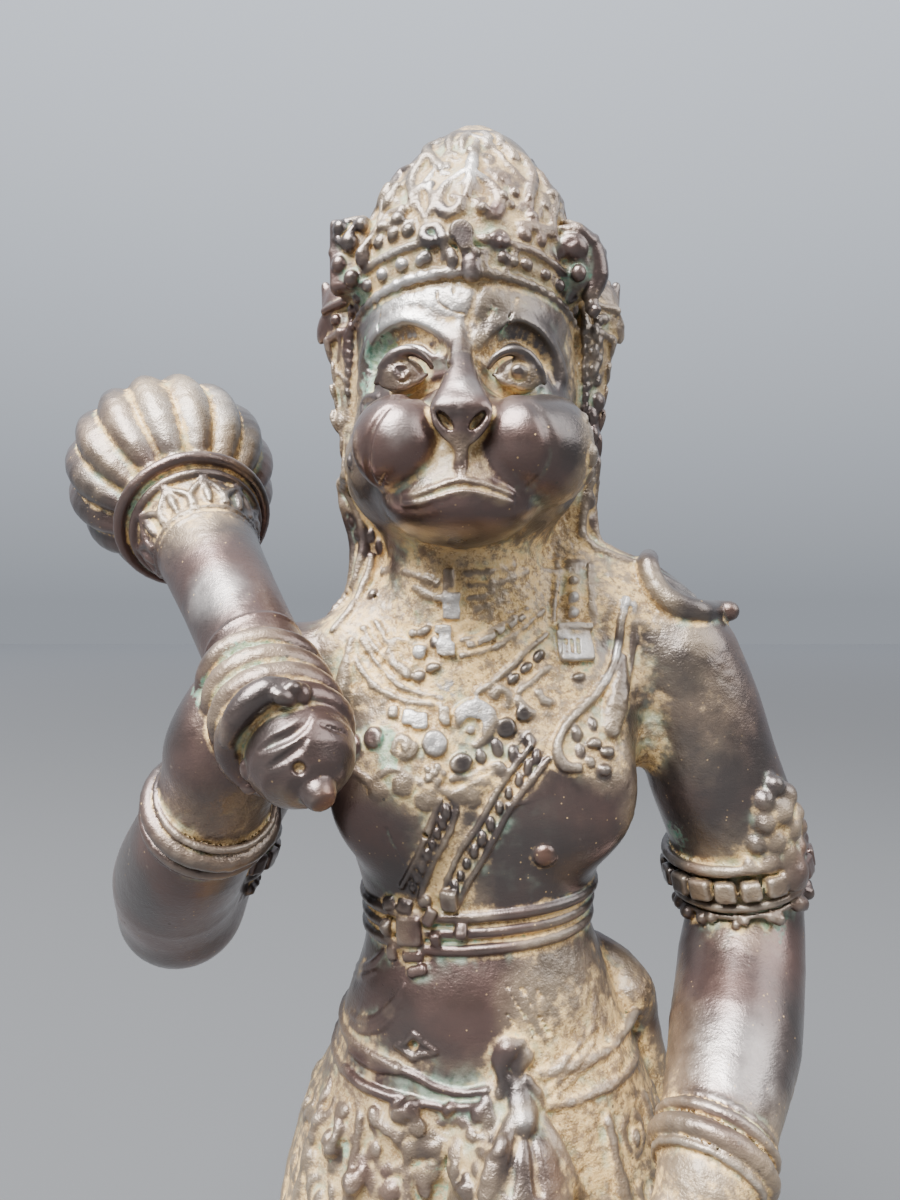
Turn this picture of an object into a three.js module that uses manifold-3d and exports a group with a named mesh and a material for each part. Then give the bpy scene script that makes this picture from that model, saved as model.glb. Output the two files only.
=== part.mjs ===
// A standing monkey warrior with a fluted club, cast in bronze in one piece with its low plinth.
// Millimetres, +Z up, the figure facing -Y. The origin is the middle of the plinth's underside.
// The figure is modelled in clay: a grid of distances to its surface, to which rounded forms are
// added and from which others are cut. The grid is then meshed and thinned to few triangles.
import * as THREE from "three";
import { triTable } from "three/addons/objects/MarchingCubes.js";
import Module from "manifold-3d";

// Driving sizes
const FIGURE_HEIGHT = 430; // soles to the tip of the crown
const PLINTH_WIDTH = 156;
const PLINTH_DEPTH = 116;
const PLINTH_HEIGHT = 20;
const PLINTH_CORNER = 9; // radius of the corners, seen from above
const PLINTH_FOOT_HEIGHT = 7; // the wider course at the bottom
const PLINTH_FOOT_STEP = 4; // how far that course stands out
const PLINTH_EDGE = 1.5; // rounding of the courses' edges
const SOLE_DEPTH = 2; // how deep the soles run into the plinth, where the metal is one

// How finely the clay is kept, and how many triangles stand for it in the end
const CLAY_CELL = 1.5;
const FIGURE_TRIANGLES = 8900;

// The pose and the carving are shares of the figure's height: one unit is 1/430 of it.
const HEIGHT_UNITS = 430;
const UNIT = FIGURE_HEIGHT / HEIGHT_UNITS;
const CLAY_LOW = [-126, -82, -14];
const CLAY_HIGH = [106, 74, 436];
const FAR = 1000;

// Clay shapes: each has a box, and a distance that is negative inside

const vec = (p) => new THREE.Vector3(p[0], p[1], p[2]);

function boxAround(points, reach) {
  const box = new THREE.Box3().setFromPoints(points).expandByScalar(reach);
  return { low: box.min.toArray(), high: box.max.toArray() };
}

// An ellipsoid, turned by Euler angles in degrees.
function egg(centre, radii, turn = [0, 0, 0]) {
  const [rx, ry, rz] = radii;
  const euler = new THREE.Euler(...turn.map(THREE.MathUtils.degToRad));
  const back = new THREE.Matrix4().makeRotationFromEuler(euler).transpose();
  const m = back.elements;
  const distance = (x, y, z) => {
    const dx = x - centre[0];
    const dy = y - centre[1];
    const dz = z - centre[2];
    const a = (m[0] * dx + m[4] * dy + m[8] * dz) / rx;
    const b = (m[1] * dx + m[5] * dy + m[9] * dz) / ry;
    const c = (m[2] * dx + m[6] * dy + m[10] * dz) / rz;
    const near = Math.hypot(a, b, c);
    const slope = Math.hypot(a / rx, b / ry, c / rz);
    return slope > 0 ? (near * (near - 1)) / slope : -Math.min(rx, ry, rz);
  };
  return { ...boxAround([vec(centre)], Math.max(rx, ry, rz)), distance };
}

// A rounded rod through [x, y, z, radius] points, smoothed into a curve.
function rod(points, { closed = false, steps = 5 } = {}) {
  const curve = new THREE.CatmullRomCurve3(points.map(vec), closed, "centripetal");
  const count = (points.length - (closed ? 0 : 1)) * steps;
  const knots = [];
  for (let i = 0; i <= count; i++) {
    const at = curve.getPoint(i / count);
    const share = i / steps;
    const first = Math.min(Math.floor(share), points.length - 1);
    const second = closed ? (first + 1) % points.length : Math.min(first + 1, points.length - 1);
    const from = points[first % points.length][3];
    knots.push([at.x, at.y, at.z, from + (points[second][3] - from) * (share - first)]);
  }
  return chain(knots);
}

// Straight tapered pieces from knot to knot.
function chain(knots) {
  const pieces = [];
  for (let i = 1; i < knots.length; i++) {
    const [ax, ay, az, ar] = knots[i - 1];
    const [bx, by, bz, br] = knots[i];
    const [ux, uy, uz, grow] = [bx - ax, by - ay, bz - az, br - ar];
    const length2 = ux * ux + uy * uy + uz * uz;
    if (length2 < 1e-9) continue;
    const distance = (x, y, z) => {
      const dx = x - ax;
      const dy = y - ay;
      const dz = z - az;
      const along = (dx * ux + dy * uy + dz * uz) / length2;
      const t = along < 0 ? 0 : along > 1 ? 1 : along;
      const gx = dx - t * ux;
      const gy = dy - t * uy;
      const gz = dz - t * uz;
      return Math.sqrt(gx * gx + gy * gy + gz * gz) - ar - t * grow;
    };
    const ends = [knots[i - 1], knots[i]].map(vec);
    pieces.push({ ...boxAround(ends, Math.max(ar, br)), distance });
  }
  const thickest = Math.max(...knots.map((k) => k[3]));
  return { ...boxAround(knots.map(vec), thickest), pieces };
}

// An upright form through level oval sections [z, centre x, centre y, half width, half depth].
function loft(sections, squareness = 2) {
  const at = (z, k) => {
    const last = sections.length - 1;
    let i = 0;
    while (i < last - 1 && z > sections[i + 1][0]) i++;
    const [a, b] = [sections[i], sections[i + 1]];
    const t = Math.min(1, Math.max(0, (z - a[0]) / (b[0] - a[0])));
    const before = sections[Math.max(0, i - 1)];
    const after = sections[Math.min(last, i + 2)];
    const slopeA = (b[k] - before[k]) / Math.max(1e-6, b[0] - before[0]);
    const slopeB = (after[k] - a[k]) / Math.max(1e-6, after[0] - a[0]);
    const width = b[0] - a[0];
    const t2 = t * t;
    const t3 = t2 * t;
    return (
      (2 * t3 - 3 * t2 + 1) * a[k] +
      (t3 - 2 * t2 + t) * width * slopeA +
      (3 * t2 - 2 * t3) * b[k] +
      (t3 - t2) * width * slopeB
    );
  };
  const bottom = sections[0][0];
  const top = sections[sections.length - 1][0];
  let level = null;
  let cx, cy, rx, ry;
  const distance = (x, y, z) => {
    if (z !== level) {
      level = z;
      [cx, cy, rx, ry] = [1, 2, 3, 4].map((k) => at(z, k));
    }
    const a = Math.abs(x - cx) / rx;
    const b = Math.abs(y - cy) / ry;
    const near = (a ** squareness + b ** squareness) ** (1 / squareness);
    const slope = Math.hypot(a / rx, b / ry) / Math.max(near, 1e-6);
    const side = near > 1e-6 ? (near - 1) / Math.max(slope, 1e-6) : -Math.min(rx, ry);
    return Math.max(side, bottom - z, z - top);
  };
  const reach = Math.max(...sections.map((s) => Math.max(s[3], s[4])));
  const ends = sections.map((s) => vec([s[1], s[2], s[0]]));
  return { ...boxAround(ends, reach), distance };
}

// A turned form round an axis: profile is [along, radius] points, and ribs round it are optional.
function turned(base, tip, profile, { ribs = 0, ribDepth = 0 } = {}) {
  const axis = vec(tip).sub(vec(base)).normalize();
  const side = new THREE.Vector3(0, 0, 1).cross(axis).normalize();
  const up = axis.clone().cross(side);
  const first = profile[0][0];
  const last = profile[profile.length - 1][0];
  const distance = (x, y, z) => {
    const dx = x - base[0];
    const dy = y - base[1];
    const dz = z - base[2];
    const along = dx * axis.x + dy * axis.y + dz * axis.z;
    const a = dx * side.x + dy * side.y + dz * side.z;
    const b = dx * up.x + dy * up.y + dz * up.z;
    const out = Math.hypot(a, b);
    let nearest = FAR;
    let inside = false;
    for (let i = 1; i < profile.length; i++) {
      const [s0, r0] = profile[i - 1];
      const [s1, r1] = profile[i];
      const ds = s1 - s0;
      const dr = r1 - r0;
      const share = ((along - s0) * ds + (out - r0) * dr) / (ds * ds + dr * dr);
      const t = Math.min(1, Math.max(0, share));
      nearest = Math.min(nearest, Math.hypot(along - s0 - t * ds, out - r0 - t * dr));
      if (ds > 0 && along >= s0 && along < s1) inside = out < r0 + ((along - s0) / ds) * dr;
    }
    if (along < first || along > last) inside = false;
    const rib = ribs ? ribDepth * Math.abs(Math.cos((ribs * Math.atan2(b, a)) / 2)) : 0;
    return (inside ? -nearest : nearest) - rib;
  };
  const reach = Math.max(...profile.map((p) => p[1])) + ribDepth;
  const ends = [first, last].map((s) => vec(base).addScaledVector(axis, s));
  return { ...boxAround(ends, reach), distance };
}

class Clay {
  constructor(low, high, cell) {
    this.low = low;
    this.cell = cell;
    this.count = high.map((h, k) => Math.ceil((h - low[k]) / cell) + 1);
    this.values = new Float32Array(this.count[0] * this.count[1] * this.count[2]).fill(FAR);
  }

  // The grid's cells within reach of a box.
  range({ low, high }, reach) {
    const cellOf = (v, k) => (v - this.low[k]) / this.cell;
    const from = low.map((v, k) => Math.max(0, Math.floor(cellOf(v - reach, k))));
    const to = high.map((v, k) => Math.min(this.count[k] - 1, Math.ceil(cellOf(v + reach, k))));
    return { from, to };
  }

  change(shape, fillet, combine) {
    const reach = fillet + 2 * this.cell;
    const { from, to } = this.range(shape, reach);
    const [wide, deep, tall] = to.map((v, k) => Math.max(0, v - from[k] + 1));
    const near = new Float32Array(wide * deep * tall).fill(FAR);
    for (const piece of shape.pieces || [shape]) {
      const part = this.range(piece, reach);
      for (let k = part.from[2]; k <= part.to[2]; k++)
        for (let j = part.from[1]; j <= part.to[1]; j++)
          for (let i = part.from[0]; i <= part.to[0]; i++) {
            const n = i - from[0] + wide * (j - from[1] + deep * (k - from[2]));
            const x = this.low[0] + i * this.cell;
            const y = this.low[1] + j * this.cell;
            const z = this.low[2] + k * this.cell;
            const d = piece.distance(x, y, z);
            if (d < near[n]) near[n] = d;
          }
    }
    const [nx, ny] = this.count;
    for (let k = 0, n = 0; k < tall; k++)
      for (let j = 0; j < deep; j++)
        for (let i = 0; i < wide; i++, n++) {
          if (near[n] === FAR) continue;
          const cell = i + from[0] + nx * (j + from[1] + ny * (k + from[2]));
          this.values[cell] = combine(this.values[cell], near[n], fillet);
        }
  }

  // Adds a shape, with a fillet of that size where it meets what is there.
  add(shape, fillet = 0) {
    this.change(shape, fillet, blendMin);
  }

  cut(shape, fillet = 0) {
    this.change(shape, fillet, (old, d, k) => -blendMin(-old, d, k));
  }

  // Takes away all that is lower than a level.
  cutBelow(level) {
    const layer = this.count[0] * this.count[1];
    this.values.forEach((v, n) => {
      const depth = level - this.low[2] - Math.floor(n / layer) * this.cell;
      if (depth > v) this.values[n] = depth;
    });
  }

  valueAt(x, y, z) {
    const [nx, ny, nz] = this.count;
    const a = (x - this.low[0]) / this.cell;
    const b = (y - this.low[1]) / this.cell;
    const c = (z - this.low[2]) / this.cell;
    const i = Math.min(nx - 2, Math.max(0, Math.floor(a)));
    const j = Math.min(ny - 2, Math.max(0, Math.floor(b)));
    const k = Math.min(nz - 2, Math.max(0, Math.floor(c)));
    let sum = 0;
    for (let corner = 0; corner < 8; corner++) {
      const [di, dj, dk] = [corner & 1, (corner >> 1) & 1, corner >> 2];
      const share =
        (di ? a - i : 1 - a + i) * (dj ? b - j : 1 - b + j) * (dk ? c - k : 1 - c + k);
      sum += share * this.values[i + di + nx * (j + dj + ny * (k + dk))];
    }
    return sum;
  }

  // The first point of the surface on a straight way from a point outside.
  hit(from, direction, far = 200) {
    const way = vec(direction).normalize();
    const step = this.cell / 2;
    let before = FAR;
    for (let s = 0; s < far; s += step) {
      const p = vec(from).addScaledVector(way, s);
      const now = this.valueAt(p.x, p.y, p.z);
      if (now <= 0) {
        const backUp = before < FAR / 2 ? (now / (now - before)) * step : 0;
        return p.addScaledVector(way, -backUp).toArray();
      }
      before = now;
    }
    throw new Error("no surface on the way from " + from + " along " + direction);
  }
}

function blendMin(a, b, k) {
  if (k <= 0) return Math.min(a, b);
  const h = Math.max(k - Math.abs(a - b), 0) / k;
  return Math.min(a, b) - (h * h * k) / 4;
}

// Anatomy, in units above the soles

const FACE_MIDDLE = -3; // the face is turned a little towards the figure's right
const BOTH_SIDES = [-1, 1];

function addTrunk(clay) {
  clay.add(
    loft(
      [
        [94, 2, -3, 56, 36],
        [104, 2, -3, 55, 36],
        [120, 2, -2, 52.5, 36],
        [136, 3, -1, 50, 35],
        [150, 3, 0, 47, 34],
        [165, 4, 0, 44, 32],
        [180, 4, -1, 40.5, 30],
        [194, 3, -1, 35.5, 26],
        [206, 3, -1, 31.5, 24],
        [217, 2, -1, 29.5, 23],
        [228, 2, -1, 32, 24],
        [240, 2, -1, 36.5, 25],
        [252, 3, -1, 40, 25],
        [264, 3, 0, 43, 24.5],
        [276, 3, 1, 45, 23],
        [286, 2, 2, 43, 20],
        [295, 1, 3, 35, 16],
        [303, 0, 3, 25, 12],
      ],
      2.3,
    ),
  );
  clay.add(rod([[0, 3, 288, 24], [-1, 2, 305, 22], [-2, 2, 322, 20]]), 7);
  clay.add(egg([37, 3, 294], [24, 14, 11], [0, 24, 0]), 7); // slope of the left shoulder
  clay.add(rod([[22, 6, 312, 8], [36, 5, 305, 8], [52, 3, 296, 9]]), 6);
  clay.add(egg([-29, 3, 287], [24, 14, 10], [0, -24, 0]), 7); // slope of the right shoulder
  for (const side of BOTH_SIDES) {
    clay.add(egg([3 + side * 19, -15, 250], [20, 12, 21]), 5); // breast
    clay.add(egg([3 + side * 19, 12, 262], [21, 14, 28]), 6); // shoulder blade
    clay.add(egg([4 + side * 17, 17, 164], [20, 17, 22]), 6); // seat
  }
  clay.add(egg([2, -14, 196], [26, 15, 18]), 7); // belly
}

function addHead(clay) {
  const x = (side, offset) => FACE_MIDDLE + side * offset;
  clay.add(egg([FACE_MIDDLE + 1.8, 1, 354], [30, 31.5, 36]), 4);
  clay.add(egg([FACE_MIDDLE + 1.2, -9, 332], [31, 27, 23]), 7); // jaw and jowls
  clay.add(egg([FACE_MIDDLE, -29, 329], [20, 15.5, 17]), 6); // muzzle
  clay.add(egg([FACE_MIDDLE, -33, 319], [17, 15, 9.5]), 5); // chin
  for (const side of BOTH_SIDES) {
    clay.add(egg([x(side, 14), -37, 333.5], [10.8, 12, 11.2]), 0.8); // cheek pouch
    clay.cut(egg([x(side, 14), -32, 352], [9, 5.5, 7]), 2.5); // eye socket
  }
  const BRIDGE = [[-31, 362, 3], [-36, 354, 3.4], [-42, 346.5, 4.6], [-46, 341.5, 5.6]];
  clay.add(rod(BRIDGE.map(([y, z, r]) => [FACE_MIDDLE, y, z, r])), 3);
  const LIDS = [
    [[6.5, -32, 351.5, 1.4], [10, -33.5, 356, 1.8], [16, -33, 356.5, 1.8], [21.5, -29.5, 351.5, 1.4]],
    [[6.5, -32, 351, 1.2], [12, -33.5, 346.5, 1.3], [18, -32, 347, 1.3], [21.5, -29.5, 351, 1.2]],
  ];
  const BROW = [
    [4, -35, 356, 2],
    [9, -34.5, 360.5, 2.3],
    [16, -32, 361.5, 2.3],
    [22, -27.5, 357, 2.2],
    [25.5, -22, 350, 1.8],
  ];
  for (const side of BOTH_SIDES) {
    const mirrored = (knots) => knots.map(([offset, ...rest]) => [x(side, offset), ...rest]);
    clay.add(egg([x(side, 5), -46, 339], [3.4, 4.2, 3.2]), 1.5); // nostril wing
    clay.cut(egg([x(side, 3), -50, 336], [1.6, 2.6, 1.7]), 0.6);
    clay.add(egg([x(side, 14), -28, 351.5], [5.6, 5.8, 5.2]), 0.6); // eyeball
    for (const lid of LIDS) clay.add(rod(mirrored(lid)), 0.8);
    clay.add(rod(mirrored(BROW)), 2.5);
  }
  const LIP_GROOVE = [[-50, 335, 2.4], [-50.3, 329, 2], [-49.5, 326, 2.4]];
  clay.add(rod(LIP_GROOVE.map(([y, z, r]) => [FACE_MIDDLE, y, z, r])), 1.2); // below the nose
  const mouth = (forward, up, r) =>
    [[-14, 7], [-7, 1.5], [0, 0], [7, 1.5], [14, 7]].map(([aside, back]) => [
      FACE_MIDDLE + aside,
      back + forward,
      323.8 + up - Math.abs(aside) * 0.25,
      r,
    ]);
  clay.add(rod(mouth(-46.5, 2, 2.4)), 1.5); // upper lip
  clay.add(rod(mouth(-45, -3, 2.6)), 1.5); // lower lip
  clay.cut(rod(mouth(-49.5, -0.4, 1.3)), 0.6);
}

// The dome, its diadem, and the leaves and bosses on it.
function addCrown(clay) {
  clay.add(
    loft([
      [372, -2, 3, 30, 32],
      [378, -2, 3, 31.5, 34],
      [387, -2, 3, 31, 33.5],
      [395, -1, 3, 28, 30.5],
      [403, 0, 3, 24.5, 27],
      [411, 0, 4, 20, 22.5],
      [418, 1, 4, 15, 17],
      [424, 1, 5, 9, 10.5],
      [429.7, 1.5, 5, 2.5, 3],
    ]),
    1,
  );
  const middle = [-2, 3];
  const rim = (a) => 373.5 + 3.5 * Math.cos(a) + 1.5 * Math.cos(2 * a); // higher over the forehead
  ringRound(clay, middle, rim, 1.9, 0.6, 24);
  ringRound(clay, middle, (a) => rim(a) + 10, 1.5, 0.5, 24);
  beadsRound(clay, middle, (a) => rim(a) + 5.2, 2.3, 24);
  // Leaves on the dome, the largest in front, each a ridge between two edges that meet above
  const LEAVES = 6;
  for (let i = 0; i < LEAVES; i++) {
    const turn = (i / LEAVES) * 2 * Math.PI;
    const size = i === 0 ? 1.25 : 0.8;
    const onDome = (aside, z) => aroundAt(clay, middle, turn + (aside * size) / 26, z);
    const top = 390 + 25 * size;
    for (const side of [-1, 0, 1]) {
      const edge = [[9, 389], [11, 395], [7, 403], [0, top]].map(([a, z]) => onDome(side * a, z));
      const knots = side ? edge : [edge[0], edge[3]];
      clay.add(rod(knots.map((at, k) => [...at, k < knots.length - 1 ? 1.7 : 1.1])), 0.8);
    }
  }
  // Bosses of the diadem: three in front, a tall one at each temple, one at the back
  const BOSSES = [
    [0, 388, 1.2],
    [-24, 387, 0.9],
    [24, 387, 0.9],
    [-82, 391, 1.9],
    [82, 391, 1.9],
    [180, 388, 1.5],
  ];
  for (const [degrees, z, size] of BOSSES) {
    const at = aroundAt(clay, middle, THREE.MathUtils.degToRad(degrees), z);
    clay.add(egg(at, [3.4 * size, 3.2 * size, 4.2 * size], [0, 0, degrees]), 0.8);
    clay.add(egg([at[0], at[1], z - 6 * size], [2.4 * size, 2.4 * size, 4 * size], [0, 0, degrees]), 0.8);
  }
}

// Wing-shaped ear ornaments beside the face, with the locks of hair that fall below them.
function addEarWings(clay) {
  for (const side of BOTH_SIDES) {
    const x = (offset) => 0.3 + side * offset;
    const wing = [
      [38.5, 3, 382, 1.6],
      [37.5, 2, 374, 3.4],
      [35.5, 1, 361, 4.2],
      [32.5, 0, 346, 4],
      [30.5, 0, 334, 3.6],
    ];
    clay.add(rod(wing.map(([offset, ...rest]) => [x(offset), ...rest])), 1.5);
    const root = [[31, 0, 377, 4.6], [29, 0, 364, 6], [28, 1, 348, 6]];
    clay.add(rod(root.map(([offset, ...rest]) => [x(offset), ...rest])), 1.5);
    const lock = [[29, 3, 338, 5], [28, 5, 326, 6.5], [26.5, 5, 313, 6], [28, 3, 300, 5]];
    clay.add(rod(lock.map(([offset, ...rest]) => [x(offset), ...rest])), 3);
  }
}

function addLeftArm(clay) {
  clay.add(
    rod([
      [58, 2, 281, 17],
      [63.5, 2, 269, 18],
      [67.5, 3, 252, 18],
      [72, 5, 238, 17.6],
      [76, 8, 224, 16],
      [77.5, 9, 211, 15.6],
      [74, 2, 199, 16.6],
      [67, -14, 187, 16.2],
      [59, -29, 177, 13.6],
      [52, -41, 168, 11],
    ]),
    6,
  );
  // Hand, resting on the front of the thigh
  clay.add(egg([46, -45, 154], [12, 8, 15], [12, -18, 0]), 5);
  const FINGERS = [[39, -46.5, 20], [44.5, -48, 23], [50, -48, 22], [55, -46, 18]];
  for (const [x, y, length] of FINGERS) {
    const tip = [x - 3.5, y + 6, 148 - length, 3.1];
    clay.add(rod([[x, y, 148, 3.9], [x - 2, y + 0.5, 148 - length / 2, 3.7], tip]), 0.8);
  }
  clay.add(rod([[38, -43, 158, 4.6], [32, -43, 149, 4.2], [29, -40, 141, 3.4]]), 1.2); // thumb
  armlet(clay, [73.5, 6, 229], [0.2, 0.13, -1], 17.6, 1);
  bracelet(clay, [54, -38, 171], [-0.5, -0.75, -0.6], 12.3);
}

const FIST = [-43, -47, 276]; // where the club's axis passes through the right fist
const CLUB_HEAD = [-88.4, 25, 335.5];
const CLUB_REACH = Math.hypot(...CLUB_HEAD.map((v, k) => v - FIST[k]));
const HANDLE_RADIUS = 10;

function addRightArm(clay) {
  clay.add(
    rod([
      [-50, 2, 275, 17],
      [-58, 3, 264, 18],
      [-66, 5, 248, 17.6],
      [-74, 8, 230, 16.8],
      [-80.5, 9, 213, 16.4],
    ]),
    6,
  );
  clay.add(
    rod([
      [-80.5, 8, 213, 16.6],
      [-77, -5, 225, 16.8],
      [-69, -20, 238, 15.2],
      [-61.5, -30, 250, 13.2],
      [-57, -37, 262, 13],
    ]),
    3,
  );
  armlet(clay, [-71, 7, 236], [-0.35, 0.13, -1], 16.6, -1);
  bracelet(clay, [-61.5, -30, 249], [0.45, -0.6, 0.75], 14);
  // Fist: the back of the hand, and four fingers that go round the handle
  clay.add(egg([-55, -40, 270], [11.5, 13, 17], [-20, 20, 0]), 5);
  const axis = vec(CLUB_HEAD).sub(vec(FIST)).normalize();
  const toPalm = new THREE.Vector3(-1, 0.1, -0.6);
  toPalm.addScaledVector(axis, -toPalm.dot(axis)).normalize();
  const round = axis.clone().cross(toPalm);
  const FINGERS = [[12.5, 4.4], [4, 4.8], [-4.5, 4.8], [-12.5, 4.5]];
  for (const [along, thick] of FINGERS) {
    const knots = [];
    const out = HANDLE_RADIUS + thick * 0.75;
    for (let i = 0; i <= 8; i++) {
      const angle = THREE.MathUtils.degToRad(-25 + i * 33);
      const p = vec(FIST)
        .addScaledVector(axis, along)
        .addScaledVector(toPalm, out * Math.cos(angle))
        .addScaledVector(round, out * Math.sin(angle));
      knots.push([...p.toArray(), i < 7 ? thick : thick * 0.8]);
    }
    clay.add(chain(knots), 0.8);
  }
}

function addClub(clay) {
  const neck = CLUB_REACH - 28;
  const handle = [
    [-33, 0],
    [-32, 3.5],
    [-28, 6.5],
    [-20, HANDLE_RADIUS],
    [0, HANDLE_RADIUS],
    [neck * 0.5, HANDLE_RADIUS],
    [neck * 0.8, HANDLE_RADIUS * 0.95],
    [neck - 13, HANDLE_RADIUS * 1.05],
    [neck - 12, HANDLE_RADIUS * 1.25],
    [neck - 5, HANDLE_RADIUS * 1.5],
    [neck - 1, 19],
    [neck + 1, 21],
    [neck + 3, 20],
    [neck + 6, 19],
    [neck + 6, 0],
  ];
  clay.add(turned(FIST, CLUB_HEAD, handle), 0.8);
  const HEAD_RADIUS = 27.5;
  const STEPS = 14;
  const ball = [];
  for (let i = 0; i <= STEPS; i++) {
    const angle = Math.PI * (1 - i / STEPS);
    ball.push([CLUB_REACH + HEAD_RADIUS * 0.96 * Math.cos(angle), HEAD_RADIUS * Math.sin(angle)]);
  }
  clay.add(turned(FIST, CLUB_HEAD, ball, { ribs: 16, ribDepth: 2.2 }), 0.6);
  const tip = CLUB_REACH + HEAD_RADIUS * 0.96;
  clay.add(turned(FIST, CLUB_HEAD, [[tip - 5, 0], [tip - 5, 7], [tip + 1, 5.5], [tip + 4, 0]]), 1);
}

function addLegs(clay) {
  const LEGS = [
    { hip: [23, 0, 156], knee: [38, -16, 84], ankle: [41, 5, 26], toes: [51, -33, 6] },
    { hip: [-18, 0, 156], knee: [-34, -13, 84], ankle: [-37, 9, 26], toes: [-47, -29, 6] },
  ];
  for (const { hip, knee, ankle, toes } of LEGS) {
    const between = (a, b, t, back, r) => [
      a[0] + (b[0] - a[0]) * t,
      a[1] + (b[1] - a[1]) * t + back,
      a[2] + (b[2] - a[2]) * t,
      r,
    ];
    clay.add(rod([[...hip, 27], between(hip, knee, 0.5, -4, 25.5), [...knee, 19.5]]), 6);
    const shin = [[...knee, 18], between(knee, ankle, 0.35, 5, 18.5), between(knee, ankle, 0.7, 2, 14)];
    clay.add(rod([...shin, [...ankle, 11], [ankle[0], ankle[1] + 2, 10, 11.5]]), 4);
    clay.add(egg([knee[0], knee[1] - 6, knee[2]], [13, 12, 14]), 4);
    addFoot(clay, ankle, toes);
    for (const level of [22, 27]) ringAcross(clay, [ankle[0], ankle[1], level], 12.6, 2);
  }
}

function addFoot(clay, ankle, toes) {
  const way = new THREE.Vector3(toes[0] - ankle[0], toes[1] - ankle[1], 0).normalize();
  const aside = new THREE.Vector3(-way.y, way.x, 0);
  const point = (forward, across, z, r) => [
    ankle[0] + way.x * forward + aside.x * across,
    ankle[1] + way.y * forward + aside.y * across,
    z,
    r,
  ];
  clay.add(rod([point(-7, 0, 7, 9), point(8, 0, 9.5, 10), point(22, 0, 6.5, 8.5)]), 4);
  clay.add(rod([point(18, -8, 5, 6), point(18, 8, 5, 6)]), 4);
  for (const across of [-12, -6, 0, 6, 12]) {
    const reach = 39 - Math.abs(across) * 0.35;
    clay.add(rod([point(18, across * 0.85, 5, 4.4), point(reach, across, 3.8, 3.8)]), 0.8);
  }
}

// The cloth round the hips, with its belt folds and hanging ends.
function addCloth(clay) {
  const hem = (angle) => 104 - 4 * Math.cos(2 * angle) + 2.5 * Math.cos(6 * angle);
  ringRound(clay, [1, 0], hem, 3.4, 3, 30, 90);
  const FOLDS = 18;
  for (let i = 0; i < FOLDS; i++) {
    const angle = ((i + 0.5) / FOLDS) * 2 * Math.PI;
    const levels = [172, 150, 126, 110];
    const knots = levels.map((z, k) => [...aroundAt(clay, [2, 0], angle + k * 0.03, z, 90), 1.2 + k * 0.45]);
    clay.add(rod(knots), 1.6);
  }
  // The front sash hangs in three pleats to the plinth, the back one is plainer and wider
  for (const across of BOTH_SIDES.concat(0)) {
    const wide = across ? 5 : 6;
    const pleat = [
      [6, -27, 180],
      [5, -35, 160],
      [4, -36, 130],
      [3, -32, 90],
      [2, -27, 50],
      [1, -25, 14],
      [1, -25, -6],
    ];
    const spread = [3, 6, 8, 8, 8.5, 10, 10];
    clay.add(rod(pleat.map(([x, y, z], k) => [x + across * spread[k], y, z, wide])), 1.2);
    const fall = [[3, 32, 172], [3, 36, 140], [2, 33, 90], [1, 27, 40], [1, 26, -6]];
    clay.add(rod(fall.map(([x, y, z], k) => [x + across * (3 + 1.6 * k), y, z, 6.5])), 3);
  }
  // Knot of the sash on the left hip, with its two ends
  clay.add(rod([[35, 8, 200, 5], [40.5, 7, 195, 6.5], [45, 6, 188, 6]]), 4);
  clay.add(egg([43, 5, 190], [8, 9, 8], [0, 20, 0]), 2);
  clay.add(rod([[46, 5, 184, 6], [50, 5, 160, 6.5], [53, 4, 132, 7], [55, 3, 112, 6]]), 2.5);
}

// Points on the surface round an upright axis through a middle, seen from far out.
function aroundAt(clay, middle, angle, z, far = 60) {
  const out = [Math.sin(angle), -Math.cos(angle), 0];
  return clay.hit([middle[0] + far * out[0], middle[1] + far * out[1], z], out.map((v) => -v));
}

function ringRound(clay, middle, level, thick, fillet, count, far = 60) {
  const knots = [];
  for (let i = 0; i < count; i++) {
    const angle = (i / count) * 2 * Math.PI;
    knots.push([...aroundAt(clay, middle, angle, level(angle), far), thick]);
  }
  clay.add(rod(knots, { closed: true, steps: 2 }), fillet);
}

function beadsRound(clay, middle, level, size, count) {
  const spots = [];
  for (let i = 0; i < count; i++) {
    const angle = (i / count) * 2 * Math.PI;
    spots.push(aroundAt(clay, middle, angle, level(angle)));
  }
  for (const at of spots) clay.add(egg(at, [size, size, size]), 0.4);
}

// A level ring of round section.
function ringAcross(clay, centre, radius, thick, axis = [0, 0, 1], fillet = 0.6) {
  const way = vec(axis).normalize();
  const side = new THREE.Vector3(0, -1, 0).cross(way).normalize();
  const up = way.clone().cross(side);
  const knots = [];
  for (let i = 0; i < 16; i++) {
    const angle = (i / 16) * 2 * Math.PI;
    const p = vec(centre)
      .addScaledVector(side, radius * Math.cos(angle))
      .addScaledVector(up, radius * Math.sin(angle));
    knots.push([...p.toArray(), thick]);
  }
  clay.add(rod(knots, { closed: true, steps: 2 }), fillet);
}

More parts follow.
